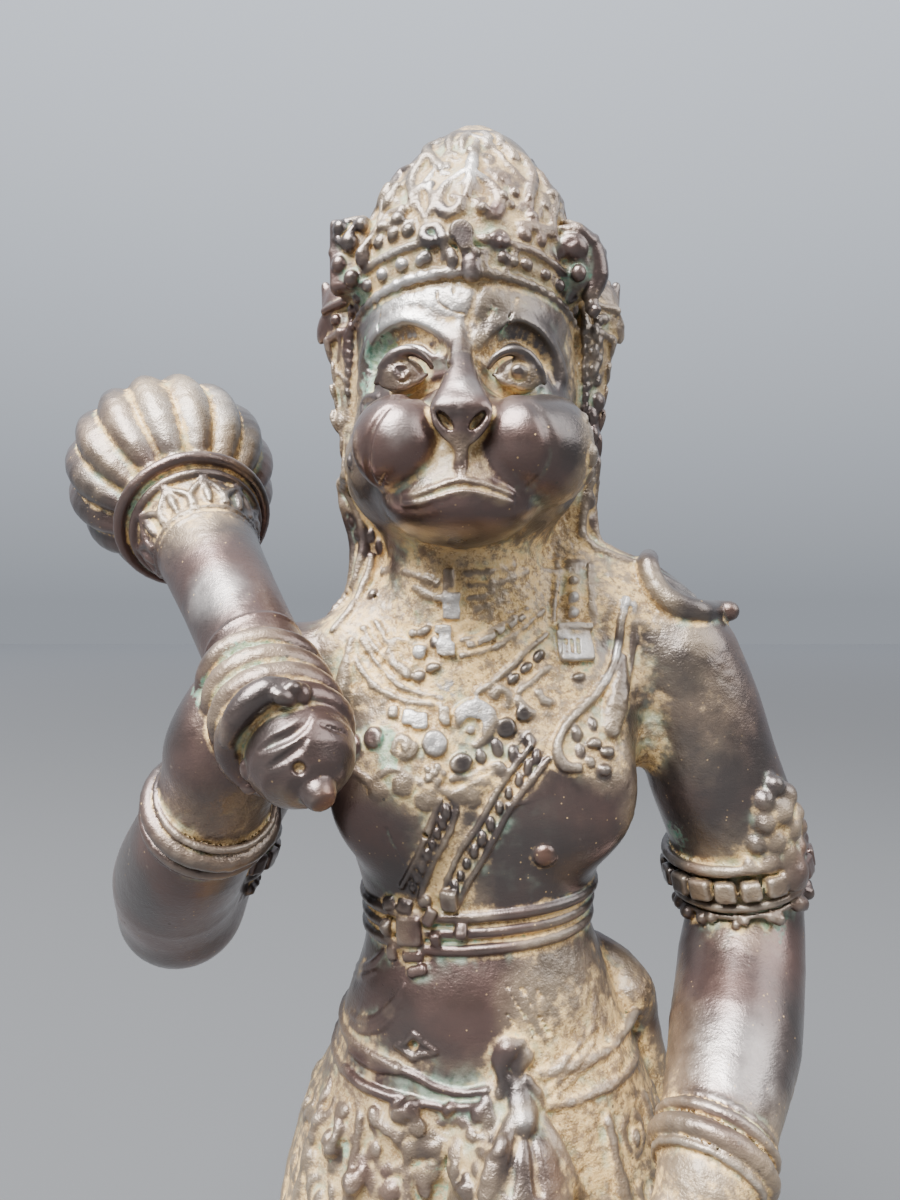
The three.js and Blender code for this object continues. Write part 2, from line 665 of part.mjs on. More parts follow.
// An armlet: a ring, a row of beads under it, a second ring, and a crest on the outer side.
function armlet(clay, centre, axis, radius, side) {
  const way = vec(axis).normalize();
  const across = new THREE.Vector3(0, -1, 0).cross(way).normalize();
  const up = way.clone().cross(across);
  const at = (angle, along, out) =>
    vec(centre)
      .addScaledVector(way, along)
      .addScaledVector(across, out * Math.cos(angle))
      .addScaledVector(up, out * Math.sin(angle))
      .toArray();
  ringAcross(clay, at(0, -1, 0), radius + 1, 2, axis);
  ringAcross(clay, at(0, 8.5, 0), radius - 0.5, 1.7, axis);
  const BEADS = 18;
  for (let i = 0; i < BEADS; i++) {
    clay.add(egg(at((i / BEADS) * 2 * Math.PI, 4, radius + 1.6), [2.9, 2.9, 2.9]), 0.4);
  }
  const outward = Math.sign(across.x || 1) * side;
  const base = outward > 0 ? 0 : Math.PI;
  const CREST = [
    [0, -13, 2.8],
    [0.16, -9, 3.3],
    [-0.2, -8.5, 3.3],
    [0, -4, 4.2],
    [0.32, -4, 2.8],
    [-0.36, -4, 2.8],
    [0, 3, 4.6],
  ];
  for (const [turn, along, size] of CREST) {
    clay.add(egg(at(base + turn, along, radius + 2.4), [size, size, size]), 0.8);
  }
}

function bracelet(clay, centre, axis, radius) {
  ringAcross(clay, centre, radius, 3, axis);
  const way = vec(axis).normalize();
  ringAcross(clay, vec(centre).addScaledVector(way, -4.4).toArray(), radius + 0.3, 1.6, axis);
}

// Collar, necklaces, straps, chest band, belt and cord.
function addOrnaments(clay) {
  ringRound(clay, [-1, 2], (a) => 300 - 3 * Math.cos(a), 1.6, 0.8, 24);
  ringRound(clay, [-1, 2], (a) => 305.5 - 3 * Math.cos(a), 1.5, 0.8, 24);
  // Necklaces are arcs over the breast, each a rod or a row of beads
  const onBreast = (x, z) => clay.hit([x, -80, z], [0, 1, 0]);
  const arc = (wide, top, drop, count) => {
    const points = [];
    for (let i = 0; i < count; i++) {
      const share = -1 + (2 * i) / (count - 1);
      points.push(onBreast(1 + wide * share, top - drop * Math.cos((share * Math.PI) / 2)));
    }
    return points;
  };
  for (const [wide, drop, thick] of [[24, 15, 1], [30, 22, 1.1], [34, 30, 1.2]]) {
    clay.add(rod(arc(wide, 297, drop, 9).map((p) => [...p, thick]), { steps: 3 }), 0.8);
  }
  for (const p of arc(35, 295, 35, 15)) clay.add(egg(p, [2.6, 2.4, 2.8]), 0.5);
  for (const p of arc(20, 276, 21, 7)) clay.add(egg(p, [2.9, 2.4, 3.2]), 0.5);
  clay.add(egg(onBreast(1, 259), [5, 2.6, 5]), 0.6);
  clay.add(egg(onBreast(-4, 283), [4.5, 1.8, 4.5]), 0.6);
  // Straps from behind the neck, with a tassel end each
  for (const [points, tassel] of [
    [[[25, 304], [26, 294], [26.5, 284]], [26.5, 278]],
    [[[-24, 304], [-29, 294], [-32, 284]], [-33, 278]],
  ]) {
    clay.add(rod(points.map(([x, z]) => [...onBreast(x, z), 3.4])), 1);
    clay.add(egg(onBreast(...tassel), [5.2, 3, 6]), 0.6);
  }
  // Leaf-shaped lappets in front of the shoulders
  for (const side of BOTH_SIDES) {
    const x = (offset) => 2 + side * offset;
    const lappet = [[41, 291, 1.6], [42, 277, 2.8], [39, 266, 4], [33, 258, 3.6]];
    clay.add(rod(lappet.map(([dx, z, r]) => [...onBreast(x(dx), z), r])), 1);
    clay.add(egg(onBreast(x(37), 256), [5, 3.4, 5]), 0.6);
  }
  // The sacred cord, two strands from the left shoulder to the right side of the waist
  const cord = [[27, 262], [19, 250], [9, 238], [0, 228], [-6, 219]];
  clay.add(rod(cord.map(([x, z]) => [...onBreast(x, z), 1.5]), { steps: 3 }), 0.8);
  clay.add(rod(cord.slice(1).map(([x, z]) => [...onBreast(x - 6.5, z + 1), 1.4]), { steps: 3 }), 0.8);
  clay.add(egg(onBreast(18, 236), [2.6, 2.4, 2.6]), 0.8);
  clay.add(egg(onBreast(-14, 236), [2.6, 2.4, 2.6]), 0.8);
  // Chest band of two ridges, with a clasp
  for (const z of [219, 213.5]) ringRound(clay, [2, 0], () => z, 1.7, 0.8, 24, 45);
  const CLASP = [[-12, 222, 3.4], [-13, 216, 4], [-12, 209, 3.6], [-18, 217, 3], [-7, 214, 3]];
  for (const [x, z, size] of CLASP) {
    clay.add(egg(onBreast(x, z), [size, 2.6, size]), 0.6);
  }
  // Belt with its knot, and the drops that hang from it
  const belt = (a) => 186.5 - 3.5 * Math.cos(a);
  ringRound(clay, [2, 0], (a) => belt(a) + 3, 2.6, 1, 26, 48);
  ringRound(clay, [2, 0], (a) => belt(a) - 3.5, 2, 1, 26, 55);
  clay.add(egg(onBreast(8, 191), [4.6, 4.2, 5]), 0.6);
  clay.add(egg(onBreast(9, 182), [6.5, 5.5, 8]), 1.5);
  const DROPS = [
    [-12, 178, 4],
    [-18, 173, 3.6],
    [-10, 170, 3.4],
    [-25, 178, 3.4],
    [-20, 164, 3.2],
    [-30, 168, 3.4],
    [24, 177, 3.6],
    [31, 171, 3.4],
  ];
  for (const [x, z, size] of DROPS) {
    clay.add(egg(onBreast(x, z), [size, 3, size * 1.25]), 0.6);
  }
}

// The tail rises behind the back, and its tip lies over the left shoulder.
function addTail(clay) {
  clay.add(
    rod([
      [4, 30, 176, 9],
      [8, 46, 182, 8.5],
      [15, 55, 204, 8],
      [24, 52, 236, 7.2],
      [33, 42, 268, 6.4],
      [40, 29, 293, 5.6],
      [45, 15, 304, 5],
      [52, 3, 301, 4.6],
      [60, -5, 296, 4.2],
      [67, -8, 292, 3.8],
    ]),
    2,
  );
}

// Marching cubes over the clay, with one vertex for each crossed grid edge.
const CORNERS = [
  [0, 0, 0], [1, 0, 0], [1, 1, 0], [0, 1, 0],
  [0, 0, 1], [1, 0, 1], [1, 1, 1], [0, 1, 1],
];
const EDGES = [
  [0, 1], [1, 2], [3, 2], [0, 3],
  [4, 5], [5, 6], [7, 6], [4, 7],
  [0, 4], [1, 5], [2, 6], [3, 7],
];

function meshOf(clay) {
  const [nx, ny, nz] = clay.count;
  const points = [];
  const faces = [];
  const known = new Map();
  const index = (i, j, k) => i + nx * (j + ny * k);
  const vertexOn = (i, j, k, edge) => {
    const [from, to] = EDGES[edge].map((c) => CORNERS[c]);
    const start = index(i + from[0], j + from[1], k + from[2]);
    const axis = from.findIndex((v, n) => v !== to[n]);
    const key = start * 3 + axis;
    if (known.has(key)) return known.get(key);
    const a = clay.values[start];
    const b = clay.values[index(i + to[0], j + to[1], k + to[2])];
    const share = Math.min(0.98, Math.max(0.02, a / (a - b)));
    const at = [i + from[0], j + from[1], k + from[2]];
    at[axis] += share;
    points.push(at.map((v, n) => clay.low[n] + v * clay.cell));
    known.set(key, points.length - 1);
    return points.length - 1;
  };
  for (let k = 0; k < nz - 1; k++)
    for (let j = 0; j < ny - 1; j++)
      for (let i = 0; i < nx - 1; i++) {
        let row = 0;
        for (let c = 0; c < 8; c++) {
          const [di, dj, dk] = CORNERS[c];
          if (clay.values[index(i + di, j + dj, k + dk)] < 0) row |= 1 << c;
        }
        if (row === 0 || row === 255) continue;
        for (let t = row * 16; triTable[t] !== -1; t += 3) {
          faces.push([0, 2, 1].map((n) => vertexOn(i, j, k, triTable[t + n])));
        }
      }
  return { points, faces };
}

// Keeps the largest connected piece, so that no stray crumb of clay is left.
function largestPiece({ points, faces }) {
  const parent = points.map((_, i) => i);
  const find = (i) => {
    while (parent[i] !== i) {
      parent[i] = parent[parent[i]];
      i = parent[i];
    }
    return i;
  };
  for (const [a, b, c] of faces) {
    parent[find(a)] = find(b);
    parent[find(b)] = find(c);
  }
  const sizes = new Map();
  for (const f of faces) sizes.set(find(f[0]), (sizes.get(find(f[0])) || 0) + 1);
  const best = [...sizes].sort((a, b) => b[1] - a[1])[0][0];
  return { points, faces: faces.filter((f) => find(f[0]) === best) };
}

// Thins a closed mesh by collapsing the edges that change its shape least. Each vertex keeps the
// sum of squared distances to the planes it has stood for, as a symmetric 4 x 4 matrix.
class Thinner {
  constructor({ points, faces }, weightAt) {
    this.at = Float64Array.from(points.flat());
    this.corner = Int32Array.from(faces.flat());
    this.sums = new Float64Array(points.length * 10);
    this.around = points.map(() => []);
    this.age = new Int32Array(points.length);
    this.mark = new Int32Array(points.length);
    this.marks = 0;
    this.left = faces.length;
    this.heap = [];
    this.best = [0, 0, 0];
    this.normal = [0, 0, 0];
    for (let n = 0; n < faces.length; n++) this.addPlane(n, weightAt);
  }

  addPlane(n, weightAt) {
    const [i, j, k] = this.corner.subarray(3 * n, 3 * n + 3);
    const a = this.at.subarray(3 * i, 3 * i + 3);
    const area = this.faceNormal(n, -1, null) || 1e-12;
    const [x, y, z] = this.normal.map((v) => v / area);
    const d = -(x * a[0] + y * a[1] + z * a[2]);
    const w = area * weightAt(a[0], a[1], a[2]);
    const terms = [x * x, x * y, x * z, x * d, y * y, y * z, y * d, z * z, z * d, d * d];
    for (const c of [i, j, k]) {
      this.around[c].push(n);
      for (let t = 0; t < 10; t++) this.sums[10 * c + t] += w * terms[t];
    }
  }

  // The normal of a face, as long as twice its area, when one of its corners has moved.
  faceNormal(n, movedCorner, to) {
    const { at, corner, normal } = this;
    const p = [];
    for (let c = 0; c < 3; c++) {
      const i = corner[3 * n + c];
      if (i === movedCorner) p.push(to[0], to[1], to[2]);
      else p.push(at[3 * i], at[3 * i + 1], at[3 * i + 2]);
    }
    const [ux, uy, uz] = [p[3] - p[0], p[4] - p[1], p[5] - p[2]];
    const [vx, vy, vz] = [p[6] - p[0], p[7] - p[1], p[8] - p[2]];
    const [wx, wy, wz] = [vx - ux, vy - uy, vz - uz];
    normal[0] = uy * vz - uz * vy;
    normal[1] = uz * vx - ux * vz;
    normal[2] = ux * vy - uy * vx;
    this.longest2 = Math.max(
      ux * ux + uy * uy + uz * uz,
      vx * vx + vy * vy + vz * vz,
      wx * wx + wy * wy + wz * wz,
    );
    return Math.sqrt(normal[0] ** 2 + normal[1] ** 2 + normal[2] ** 2);
  }

  // The cost of joining two vertices; the place where it is least is left in this.best.
  price(u, v) {
    const { at, sums } = this;
    const q = [];
    for (let t = 0; t < 10; t++) q.push(sums[10 * u + t] + sums[10 * v + t]);
    const error = (x, y, z) =>
      q[0] * x * x + q[4] * y * y + q[7] * z * z + q[9] +
      2 * (q[1] * x * y + q[2] * x * z + q[5] * y * z + q[3] * x + q[6] * y + q[8] * z);
    const [ax, ay, az] = [at[3 * u], at[3 * u + 1], at[3 * u + 2]];
    const [bx, by, bz] = [at[3 * v], at[3 * v + 1], at[3 * v + 2]];
    const [mx, my, mz] = [(ax + bx) / 2, (ay + by) / 2, (az + bz) / 2];
    const length2 = (ax - bx) ** 2 + (ay - by) ** 2 + (az - bz) ** 2;
    let least = error(mx, my, mz);
    const offer = (x, y, z) => {
      const e = error(x, y, z);
      if (e >= least) return;
      least = e;
      this.best = [x, y, z];
    };
    this.best = [mx, my, mz];
    offer(ax, ay, az);
    offer(bx, by, bz);
    const c00 = q[4] * q[7] - q[5] * q[5];
    const c01 = q[2] * q[5] - q[1] * q[7];
    const c02 = q[1] * q[5] - q[2] * q[4];
    const det = q[0] * c00 + q[1] * c01 + q[2] * c02;
    if (Math.abs(det) > 1e-9) {
      const c11 = q[0] * q[7] - q[2] * q[2];
      const c12 = q[1] * q[2] - q[0] * q[5];
      const c22 = q[0] * q[4] - q[1] * q[1];
      const x = -(c00 * q[3] + c01 * q[6] + c02 * q[8]) / det;
      const y = -(c01 * q[3] + c11 * q[6] + c12 * q[8]) / det;
      const z = -(c02 * q[3] + c12 * q[6] + c22 * q[8]) / det;
      if ((x - mx) ** 2 + (y - my) ** 2 + (z - mz) ** 2 < 4 * length2) offer(x, y, z);
    }
    return Math.max(0, least) + 1e-4 * length2;
  }

  consider(u, v) {
    const { heap, age } = this;
    const entry = { rank: this.price(u, v), u, v, stamp: age[u] + age[v] };
    let i = heap.length;
    heap.push(entry);
    while (i > 0) {
      const up = (i - 1) >> 1;
      if (heap[up].rank <= entry.rank) break;
      heap[i] = heap[up];
      i = up;
    }
    heap[i] = entry;
  }

  cheapest() {
    const { heap } = this;
    const top = heap[0];
    const end = heap.pop();
    const size = heap.length;
    if (!size) return top;
    let i = 0;
    for (;;) {
      let child = 2 * i + 1;
      if (child >= size) break;
      if (child + 1 < size && heap[child + 1].rank < heap[child].rank) child++;
      if (heap[child].rank >= end.rank) break;
      heap[i] = heap[child];
      i = child;
    }
    heap[i] = end;
    return top;
  }

  neighbours(u) {
    const { corner, mark } = this;
    const found = [];
    const stamp = ++this.marks;
    mark[u] = stamp;
    for (const n of this.around[u])
      for (let c = 0; c < 3; c++) {
        const i = corner[3 * n + c];
        if (mark[i] === stamp) continue;
        mark[i] = stamp;
        found.push(i);
      }
    return found;
  }

  hasCorner(n, i) {
    const { corner } = this;
    return corner[3 * n] === i || corner[3 * n + 1] === i || corner[3 * n + 2] === i;
  }

  // Whether the faces at u, but for those shared, neither fold over nor thin to slivers.
  staysSound(u, other, to) {
    for (const n of this.around[u]) {
      if (this.hasCorner(n, other)) continue;
      const before = this.faceNormal(n, -1, null);
      const [x, y, z] = this.normal;
      const shapeBefore = before / this.longest2;
      const after = this.faceNormal(n, u, to);
      const turn = x * this.normal[0] + y * this.normal[1] + z * this.normal[2];
      if (turn < 0.3 * before * after) return false;
      if (after < Math.min(0.05, 0.8 * shapeBefore) * this.longest2) return false;
    }
    return true;
  }

  join(u, v, to) {
    const { corner, around, sums } = this;
    for (const n of around[v]) {
      if (this.hasCorner(n, u)) {
        this.left--;
        for (let c = 0; c < 3; c++) {
          const i = corner[3 * n + c];
          if (i !== v) around[i] = around[i].filter((m) => m !== n);
          corner[3 * n + c] = -1;
        }
      } else {
        for (let c = 0; c < 3; c++) if (corner[3 * n + c] === v) corner[3 * n + c] = u;
        around[u].push(n);
      }
    }
    around[v] = [];
    for (let k = 0; k < 3; k++) this.at[3 * u + k] = to[k];
    for (let t = 0; t < 10; t++) sums[10 * u + t] += sums[10 * v + t];
    this.age[v] = -1e9;
    this.age[u]++;
    for (const i of this.neighbours(u)) this.consider(u, i);
  }

  considerAll() {
    const { corner } = this;
    this.heap = [];
    for (let n = 0; n < corner.length; n += 3)
      for (let c = 0; c < 3; c++) {
        const u = corner[n + c];
        const v = corner[n + ((c + 1) % 3)];
        if (u >= 0 && u < v) this.consider(u, v);
      }
  }

  thinTo(wanted) {
    for (let pass = 0; pass < 3 && this.left > wanted; pass++) {
      this.considerAll();
      while (this.left > wanted && this.heap.length) {
        const { u, v, stamp } = this.cheapest();
        if (this.age[u] < 0 || this.age[v] < 0 || this.age[u] + this.age[v] !== stamp) continue;
        const nextToU = this.neighbours(u);
        const stampU = this.marks;
        if (this.mark[v] !== stampU || !nextToU.length) continue;
        const isNext = new Set(nextToU);
        const shared = this.neighbours(v).filter((i) => isNext.has(i));
        if (shared.length !== 2) continue;
        this.price(u, v);
        const to = this.best;
        if (this.staysSound(u, v, to) && this.staysSound(v, u, to)) this.join(u, v, to);
      }
    }
  }

  mesh() {
    const number = new Map();
    const points = [];
    const faces = [];
    for (let n = 0; n < this.corner.length; n += 3) {
      if (this.corner[n] < 0) continue;
      const face = [];
      for (let c = 0; c < 3; c++) {
        const i = this.corner[n + c];
        if (!number.has(i)) {
          number.set(i, points.length);
          points.push([...this.at.subarray(3 * i, 3 * i + 3)]);
        }
        face.push(number.get(i));
      }
      faces.push(face);
    }
    return { points, faces };
  }
}

// Where the carving matters most, the thinning keeps more triangles.
function carvingWeight(x, y, z) {
  if (z > 310 && y < -12 && Math.abs(x - FACE_MIDDLE) < 34) return 16;
  if (z > 300) return 4;
  if (z > 205 || y < -20) return 1.8;
  return 0.5;
}

function figureMesh() {
  const clay = new Clay(CLAY_LOW, CLAY_HIGH, CLAY_CELL / UNIT);
  addTrunk(clay);
  addLegs(clay);
  addHead(clay);
  addLeftArm(clay);
  addEarWings(clay);
  addCrown(clay);
  addCloth(clay);
  addOrnaments(clay);
  addRightArm(clay);
  addClub(clay);
  addTail(clay);
  clay.cutBelow(-SOLE_DEPTH / UNIT);
  const thinner = new Thinner(largestPiece(meshOf(clay)), carvingWeight);
  thinner.thinTo(FIGURE_TRIANGLES);
  const { points, faces } = thinner.mesh();
  return { points: points.map(([x, y, z]) => [x * UNIT, y * UNIT, z * UNIT + PLINTH_HEIGHT]), faces };
}

// The plinth: two courses with rounded corners and softened edges.
function course(width, depth, bottom, height) {
  const [w, d, r] = [width / 2 - PLINTH_EDGE, depth / 2 - PLINTH_EDGE, PLINTH_CORNER - PLINTH_EDGE];
  const outline = new THREE.Shape();
  outline.absarc(w - r, d - r, r, 0, Math.PI / 2);
  outline.absarc(r - w, d - r, r, Math.PI / 2, Math.PI);
  outline.absarc(r - w, r - d, r, Math.PI, 1.5 * Math.PI);
  outline.absarc(w - r, r - d, r, 1.5 * Math.PI, 2 * Math.PI);
  return new THREE.ExtrudeGeometry(outline, {
    depth: height - 2 * PLINTH_EDGE,
    curveSegments: 5,
    bevelThickness: PLINTH_EDGE,
    bevelSize: PLINTH_EDGE,
    bevelSegments: 2,
  }).translate(0, 0, bottom + PLINTH_EDGE);
}

const wasm = await Module();
wasm.setup();

function solidFrom({ points, faces }) {
  return new wasm.Manifold(
    new wasm.Mesh({
      numProp: 3,
      vertProperties: new Float32Array(points.flat()),
      triVerts: new Uint32Array(faces.flat()),
    }),
  );
}

function solidFromGeometry(geometry) {
  const raw = geometry.getAttribute("position");
  const known = new Map();
  const points = [];
  const indices = [];
  for (let i = 0; i < raw.count; i++) {
    const p = [raw.getX(i), raw.getY(i), raw.getZ(i)];
    const key = p.map((v) => Math.round(v * 1e4)).join();
    if (!known.has(key)) {
      known.set(key, points.length);
      points.push(p);
    }
    indices.push(known.get(key));
  }
  const faces = [];
  for (let i = 0; i < indices.length; i += 3) {
    const [a, b, c] = indices.slice(i, i + 3);
    if (a !== b && b !== c && a !== c) faces.push([a, b, c]);
  }
  return solidFrom({ points, faces });
}

function geometryFrom(solid) {
  const { numProp, numVert, vertProperties, triVerts } = solid.getMesh();
  const positions = new Float32Array(numVert * 3);
  for (let i = 0; i < numVert; i++) {
    positions.set(vertProperties.subarray(i * numProp, i * numProp + 3), i * 3);
  }
  const geometry = new THREE.BufferGeometry();
  geometry.setAttribute("position", new THREE.BufferAttribute(positions, 3));
  geometry.setIndex(new THREE.BufferAttribute(triVerts, 1));
  geometry.computeVertexNormals();
  return geometry;
}

const topWidth = PLINTH_WIDTH - 2 * PLINTH_FOOT_STEP;
const topDepth = PLINTH_DEPTH - 2 * PLINTH_FOOT_STEP;
const insideFoot = PLINTH_FOOT_HEIGHT / 2;
const plinth = solidFromGeometry(course(PLINTH_WIDTH, PLINTH_DEPTH, 0, PLINTH_FOOT_HEIGHT)).add(
  solidFromGeometry(course(topWidth, topDepth, insideFoot, PLINTH_HEIGHT - insideFoot)),
);
const casting = solidFrom(figureMesh()).add(plinth);

const bronze = new THREE.MeshStandardMaterial({ color: 0x5b4a40, roughness: 0.42, metalness: 0.85 });
const hanuman = new THREE.Mesh(geometryFrom(casting), bronze);
hanuman.name = "hanuman_casting";

const part = new THREE.Group();
part.add(hanuman);
export default part;
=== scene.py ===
import math

import bpy
import numpy as np
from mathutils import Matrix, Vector


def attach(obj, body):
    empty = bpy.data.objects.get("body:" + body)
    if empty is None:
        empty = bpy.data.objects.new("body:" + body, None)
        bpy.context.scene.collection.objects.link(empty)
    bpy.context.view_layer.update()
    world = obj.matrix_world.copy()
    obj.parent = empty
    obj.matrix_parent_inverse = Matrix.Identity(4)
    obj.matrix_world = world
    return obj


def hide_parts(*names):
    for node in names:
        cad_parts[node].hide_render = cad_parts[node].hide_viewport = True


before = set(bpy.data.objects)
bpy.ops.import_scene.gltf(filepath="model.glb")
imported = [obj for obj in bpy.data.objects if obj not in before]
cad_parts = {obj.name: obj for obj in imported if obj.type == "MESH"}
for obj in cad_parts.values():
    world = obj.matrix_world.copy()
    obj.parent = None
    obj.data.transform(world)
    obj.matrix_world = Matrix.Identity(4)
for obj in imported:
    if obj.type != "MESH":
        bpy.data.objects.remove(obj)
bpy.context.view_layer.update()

NODE = "hanuman_casting"

# Driving sizes, as in the part's source; the soles stand a little way into the plinth
PLINTH_WIDTH = 156.0
PLINTH_DEPTH = 116.0
PLINTH_HEIGHT = 20.0
PLINTH_CORNER = 9.0
SOLE_DEPTH = 2.0
MM = 0.001

# The photograph: its size, its lens in pixels, and where the camera stood
PHOTO_WIDTH = 900
PHOTO_HEIGHT = 1200
LENS_MM = 26.0
SENSOR_MM = 36.0
FOCAL = PHOTO_HEIGHT * LENS_MM / SENSOR_MM
CAMERA = np.array([-5.4, -235.0, 318.0 - PLINTH_HEIGHT])

# The clay's extent, its fineness while shapes are placed on it, and its value far from them
CLAY_LOW = np.array([-126.0, -82.0, -14.0])
CLAY_HIGH = np.array([106.0, 74.0, 436.0])
DRAFT_CELL = 1.25
FAR = 1000.0
SIGHT = 420.0  # how far a straight way is followed to the surface
NEAR_MISS = 5.0  # how far off the surface such a way may pass
RELIEF_SUNK = -0.3  # how far a raised line's middle lies from the surface
SEAM_DIP = 0.15  # how far a piece dips for each mm that it runs past its border
WEAR_SOFTNESS = 0.5
FACE_MIDDLE = -3.0
BOTH_SIDES = (-1, 1)

# Crust of deposit: its layers, each as the gap between lumps and their height; how rough the
# polished metal is, as a share of the roughest deposit; and how finely that share is worked out
CRUST_LAYERS = ((3.8, 0.5), (1.9, 0.42), (1, 0.3))
CRUST_LEAST = 0.06
CRUST_MARGIN = 6
CRUST_SHARE_GAP = 5.0
CRUST_SEED = 7

# Colours, linear
BRONZE_DARK = (0.075, 0.062, 0.058, 1)
BRONZE_RED = (0.125, 0.077, 0.066, 1)
BRONZE_DUSTY = (0.26, 0.195, 0.125, 1)
# Pale bronze, for painted highlights on ridges
BRONZE_RIDGE_HIGHLIGHT = (0.42, 0.37, 0.31, 1)
# Bright bronze for spots worn bare, painted bright as highlights too
BRONZE_RUBBED_HIGHLIGHT = (0.5, 0.48, 0.46, 1)
COPPER = (0.2, 0.095, 0.06, 1)
OCHRE_DARK = (0.24, 0.145, 0.055, 1)
OCHRE_PALE = (0.66, 0.43, 0.165, 1)
DUST = (0.68, 0.57, 0.4, 1)
# Browner earth, for painted shade on the deposit
SHADED_EARTH = (0.15, 0.12, 0.075, 1)
# Near-black: painted shade in the deepest hollows, and small dark pits
DARK_PITS_AND_HOLLOW_SHADE = (0.05, 0.038, 0.028, 1)
VERDIGRIS_PALE = (0.34, 0.46, 0.35, 1)
VERDIGRIS_DEEP = (0.07, 0.22, 0.145, 1)
# Floor colours: painted darker near the figure and paler far away, to even out the key light's fall-off
FLOOR_NEAR_SHADED = (0.076, 0.078, 0.082, 1)
FLOOR_FAR_LIT = (0.267, 0.275, 0.292, 1)
STUDIO = (0.6, 0.645, 0.72, 1)


# Forms: each has a box, and a distance that is negative inside

class Form:
    def __init__(self, low, high, distance):
        self.low = np.asarray(low, float)
        self.high = np.asarray(high, float)
        self.distance = distance


def form_around(points, reach, distance):
    places = np.array([p[:3] for p in points], float)
    return Form(places.min(0) - reach, places.max(0) + reach, distance)


def length_of(*parts):
    return np.sqrt(sum(p * p for p in parts))


def turn_axes(degrees):
    """Local axes, as rows, of a form turned about X, then Y, then Z."""
    a, b, c = (math.radians(d) for d in degrees)
    about_x = np.array([[1, 0, 0], [0, math.cos(a), -math.sin(a)], [0, math.sin(a), math.cos(a)]])
    about_y = np.array([[math.cos(b), 0, math.sin(b)], [0, 1, 0], [-math.sin(b), 0, math.cos(b)]])
    about_z = np.array([[math.cos(c), -math.sin(c), 0], [math.sin(c), math.cos(c), 0], [0, 0, 1]])
    return (about_x @ about_y @ about_z).T


def egg(centre, radii, turn=(0, 0, 0), axes=None):
    """An ellipsoid, turned by angles in degrees or set on given axes."""
    rows = turn_axes(turn) if axes is None else axes
    slopes = [[float(rows[k][n]) / radii[k] for n in range(3)] for k in range(3)]

    def distance(x, y, z):
        d = (x - centre[0], y - centre[1], z - centre[2])
        q = [s[0] * d[0] + s[1] * d[1] + s[2] * d[2] for s in slopes]
        near = length_of(*q)
        slope = length_of(*(q[k] / radii[k] for k in range(3)))
        return near * (near - 1) / np.maximum(slope, 1e-6)

    return [form_around([centre], max(radii), distance)]


def slab(centre, halves, rounding, axes):
    """A box with rounded edges on given axes."""
    inner = [h - rounding for h in halves]

    def distance(x, y, z):
        d = (x - centre[0], y - centre[1], z - centre[2])
        q = [np.abs(sum(float(axes[k][n]) * d[n] for n in range(3))) - inner[k] for k in range(3)]
        outside = length_of(*(np.maximum(v, 0) for v in q))
        return outside + np.minimum(np.maximum(np.maximum(q[0], q[1]), q[2]), 0) - rounding

    return [form_around([centre], float(np.linalg.norm(halves)), distance)]


def straight(a, b):
    """A straight tapered piece between two [x, y, z, radius] knots."""
    way = np.subtract(b[:3], a[:3])
    length2 = float(way @ way)
    grow = b[3] - a[3]

    def distance(x, y, z):
        dx, dy, dz = x - a[0], y - a[1], z - a[2]
        t = np.clip((dx * way[0] + dy * way[1] + dz * way[2]) / length2, 0, 1)
        return length_of(dx - t * way[0], dy - t * way[1], dz - t * way[2]) - a[3] - t * grow

    return form_around([a, b], max(a[3], b[3]), distance)


def chain(knots):
    pairs = zip(knots[:-1], knots[1:])
    return [straight(a, b) for a, b in pairs if np.linalg.norm(np.subtract(b[:3], a[:3])) > 1e-4]


def curve_through(points, closed, steps):
    """Points of a centripetal Catmull-Rom curve, with the radius eased along each span."""
    p = [np.array(q, float) for q in points]
    count = len(p)
    spans = count if closed else count - 1
    knots = []
    for i in range(spans):
        p1 = p[i]
        p2 = p[(i + 1) % count]
        p0 = p[(i - 1) % count] if closed or i > 0 else 2 * p1 - p2
        p3 = p[(i + 2) % count] if closed or i + 2 < count else 2 * p2 - p1
        d0, d1, d2 = (np.linalg.norm((b - a)[:3]) ** 0.5 for a, b in ((p0, p1), (p1, p2), (p2, p3)))
        d1 = d1 if d1 > 1e-4 else 1.0
        d0 = d0 if d0 > 1e-4 else d1
        d2 = d2 if d2 > 1e-4 else d1
        leave = ((p1 - p0) / d0 - (p2 - p0) / (d0 + d1) + (p2 - p1) / d1) * d1
        arrive = ((p2 - p1) / d1 - (p3 - p1) / (d1 + d2) + (p3 - p2) / d2) * d1
        for s in range(steps):
            t = s / steps
            at = (p1 + leave * t + (3 * (p2 - p1) - 2 * leave - arrive) * t * t
                  + (2 * (p1 - p2) + leave + arrive) * t ** 3)
            at[3] = p1[3] + (p2[3] - p1[3]) * t
            knots.append(at)
    knots.append(p[0] if closed else p[-1])
    return knots


def rod(points, closed=False, steps=5):
    """A rounded rod along a smooth curve through [x, y, z, radius] points."""
    return chain(curve_through(points, closed, steps))


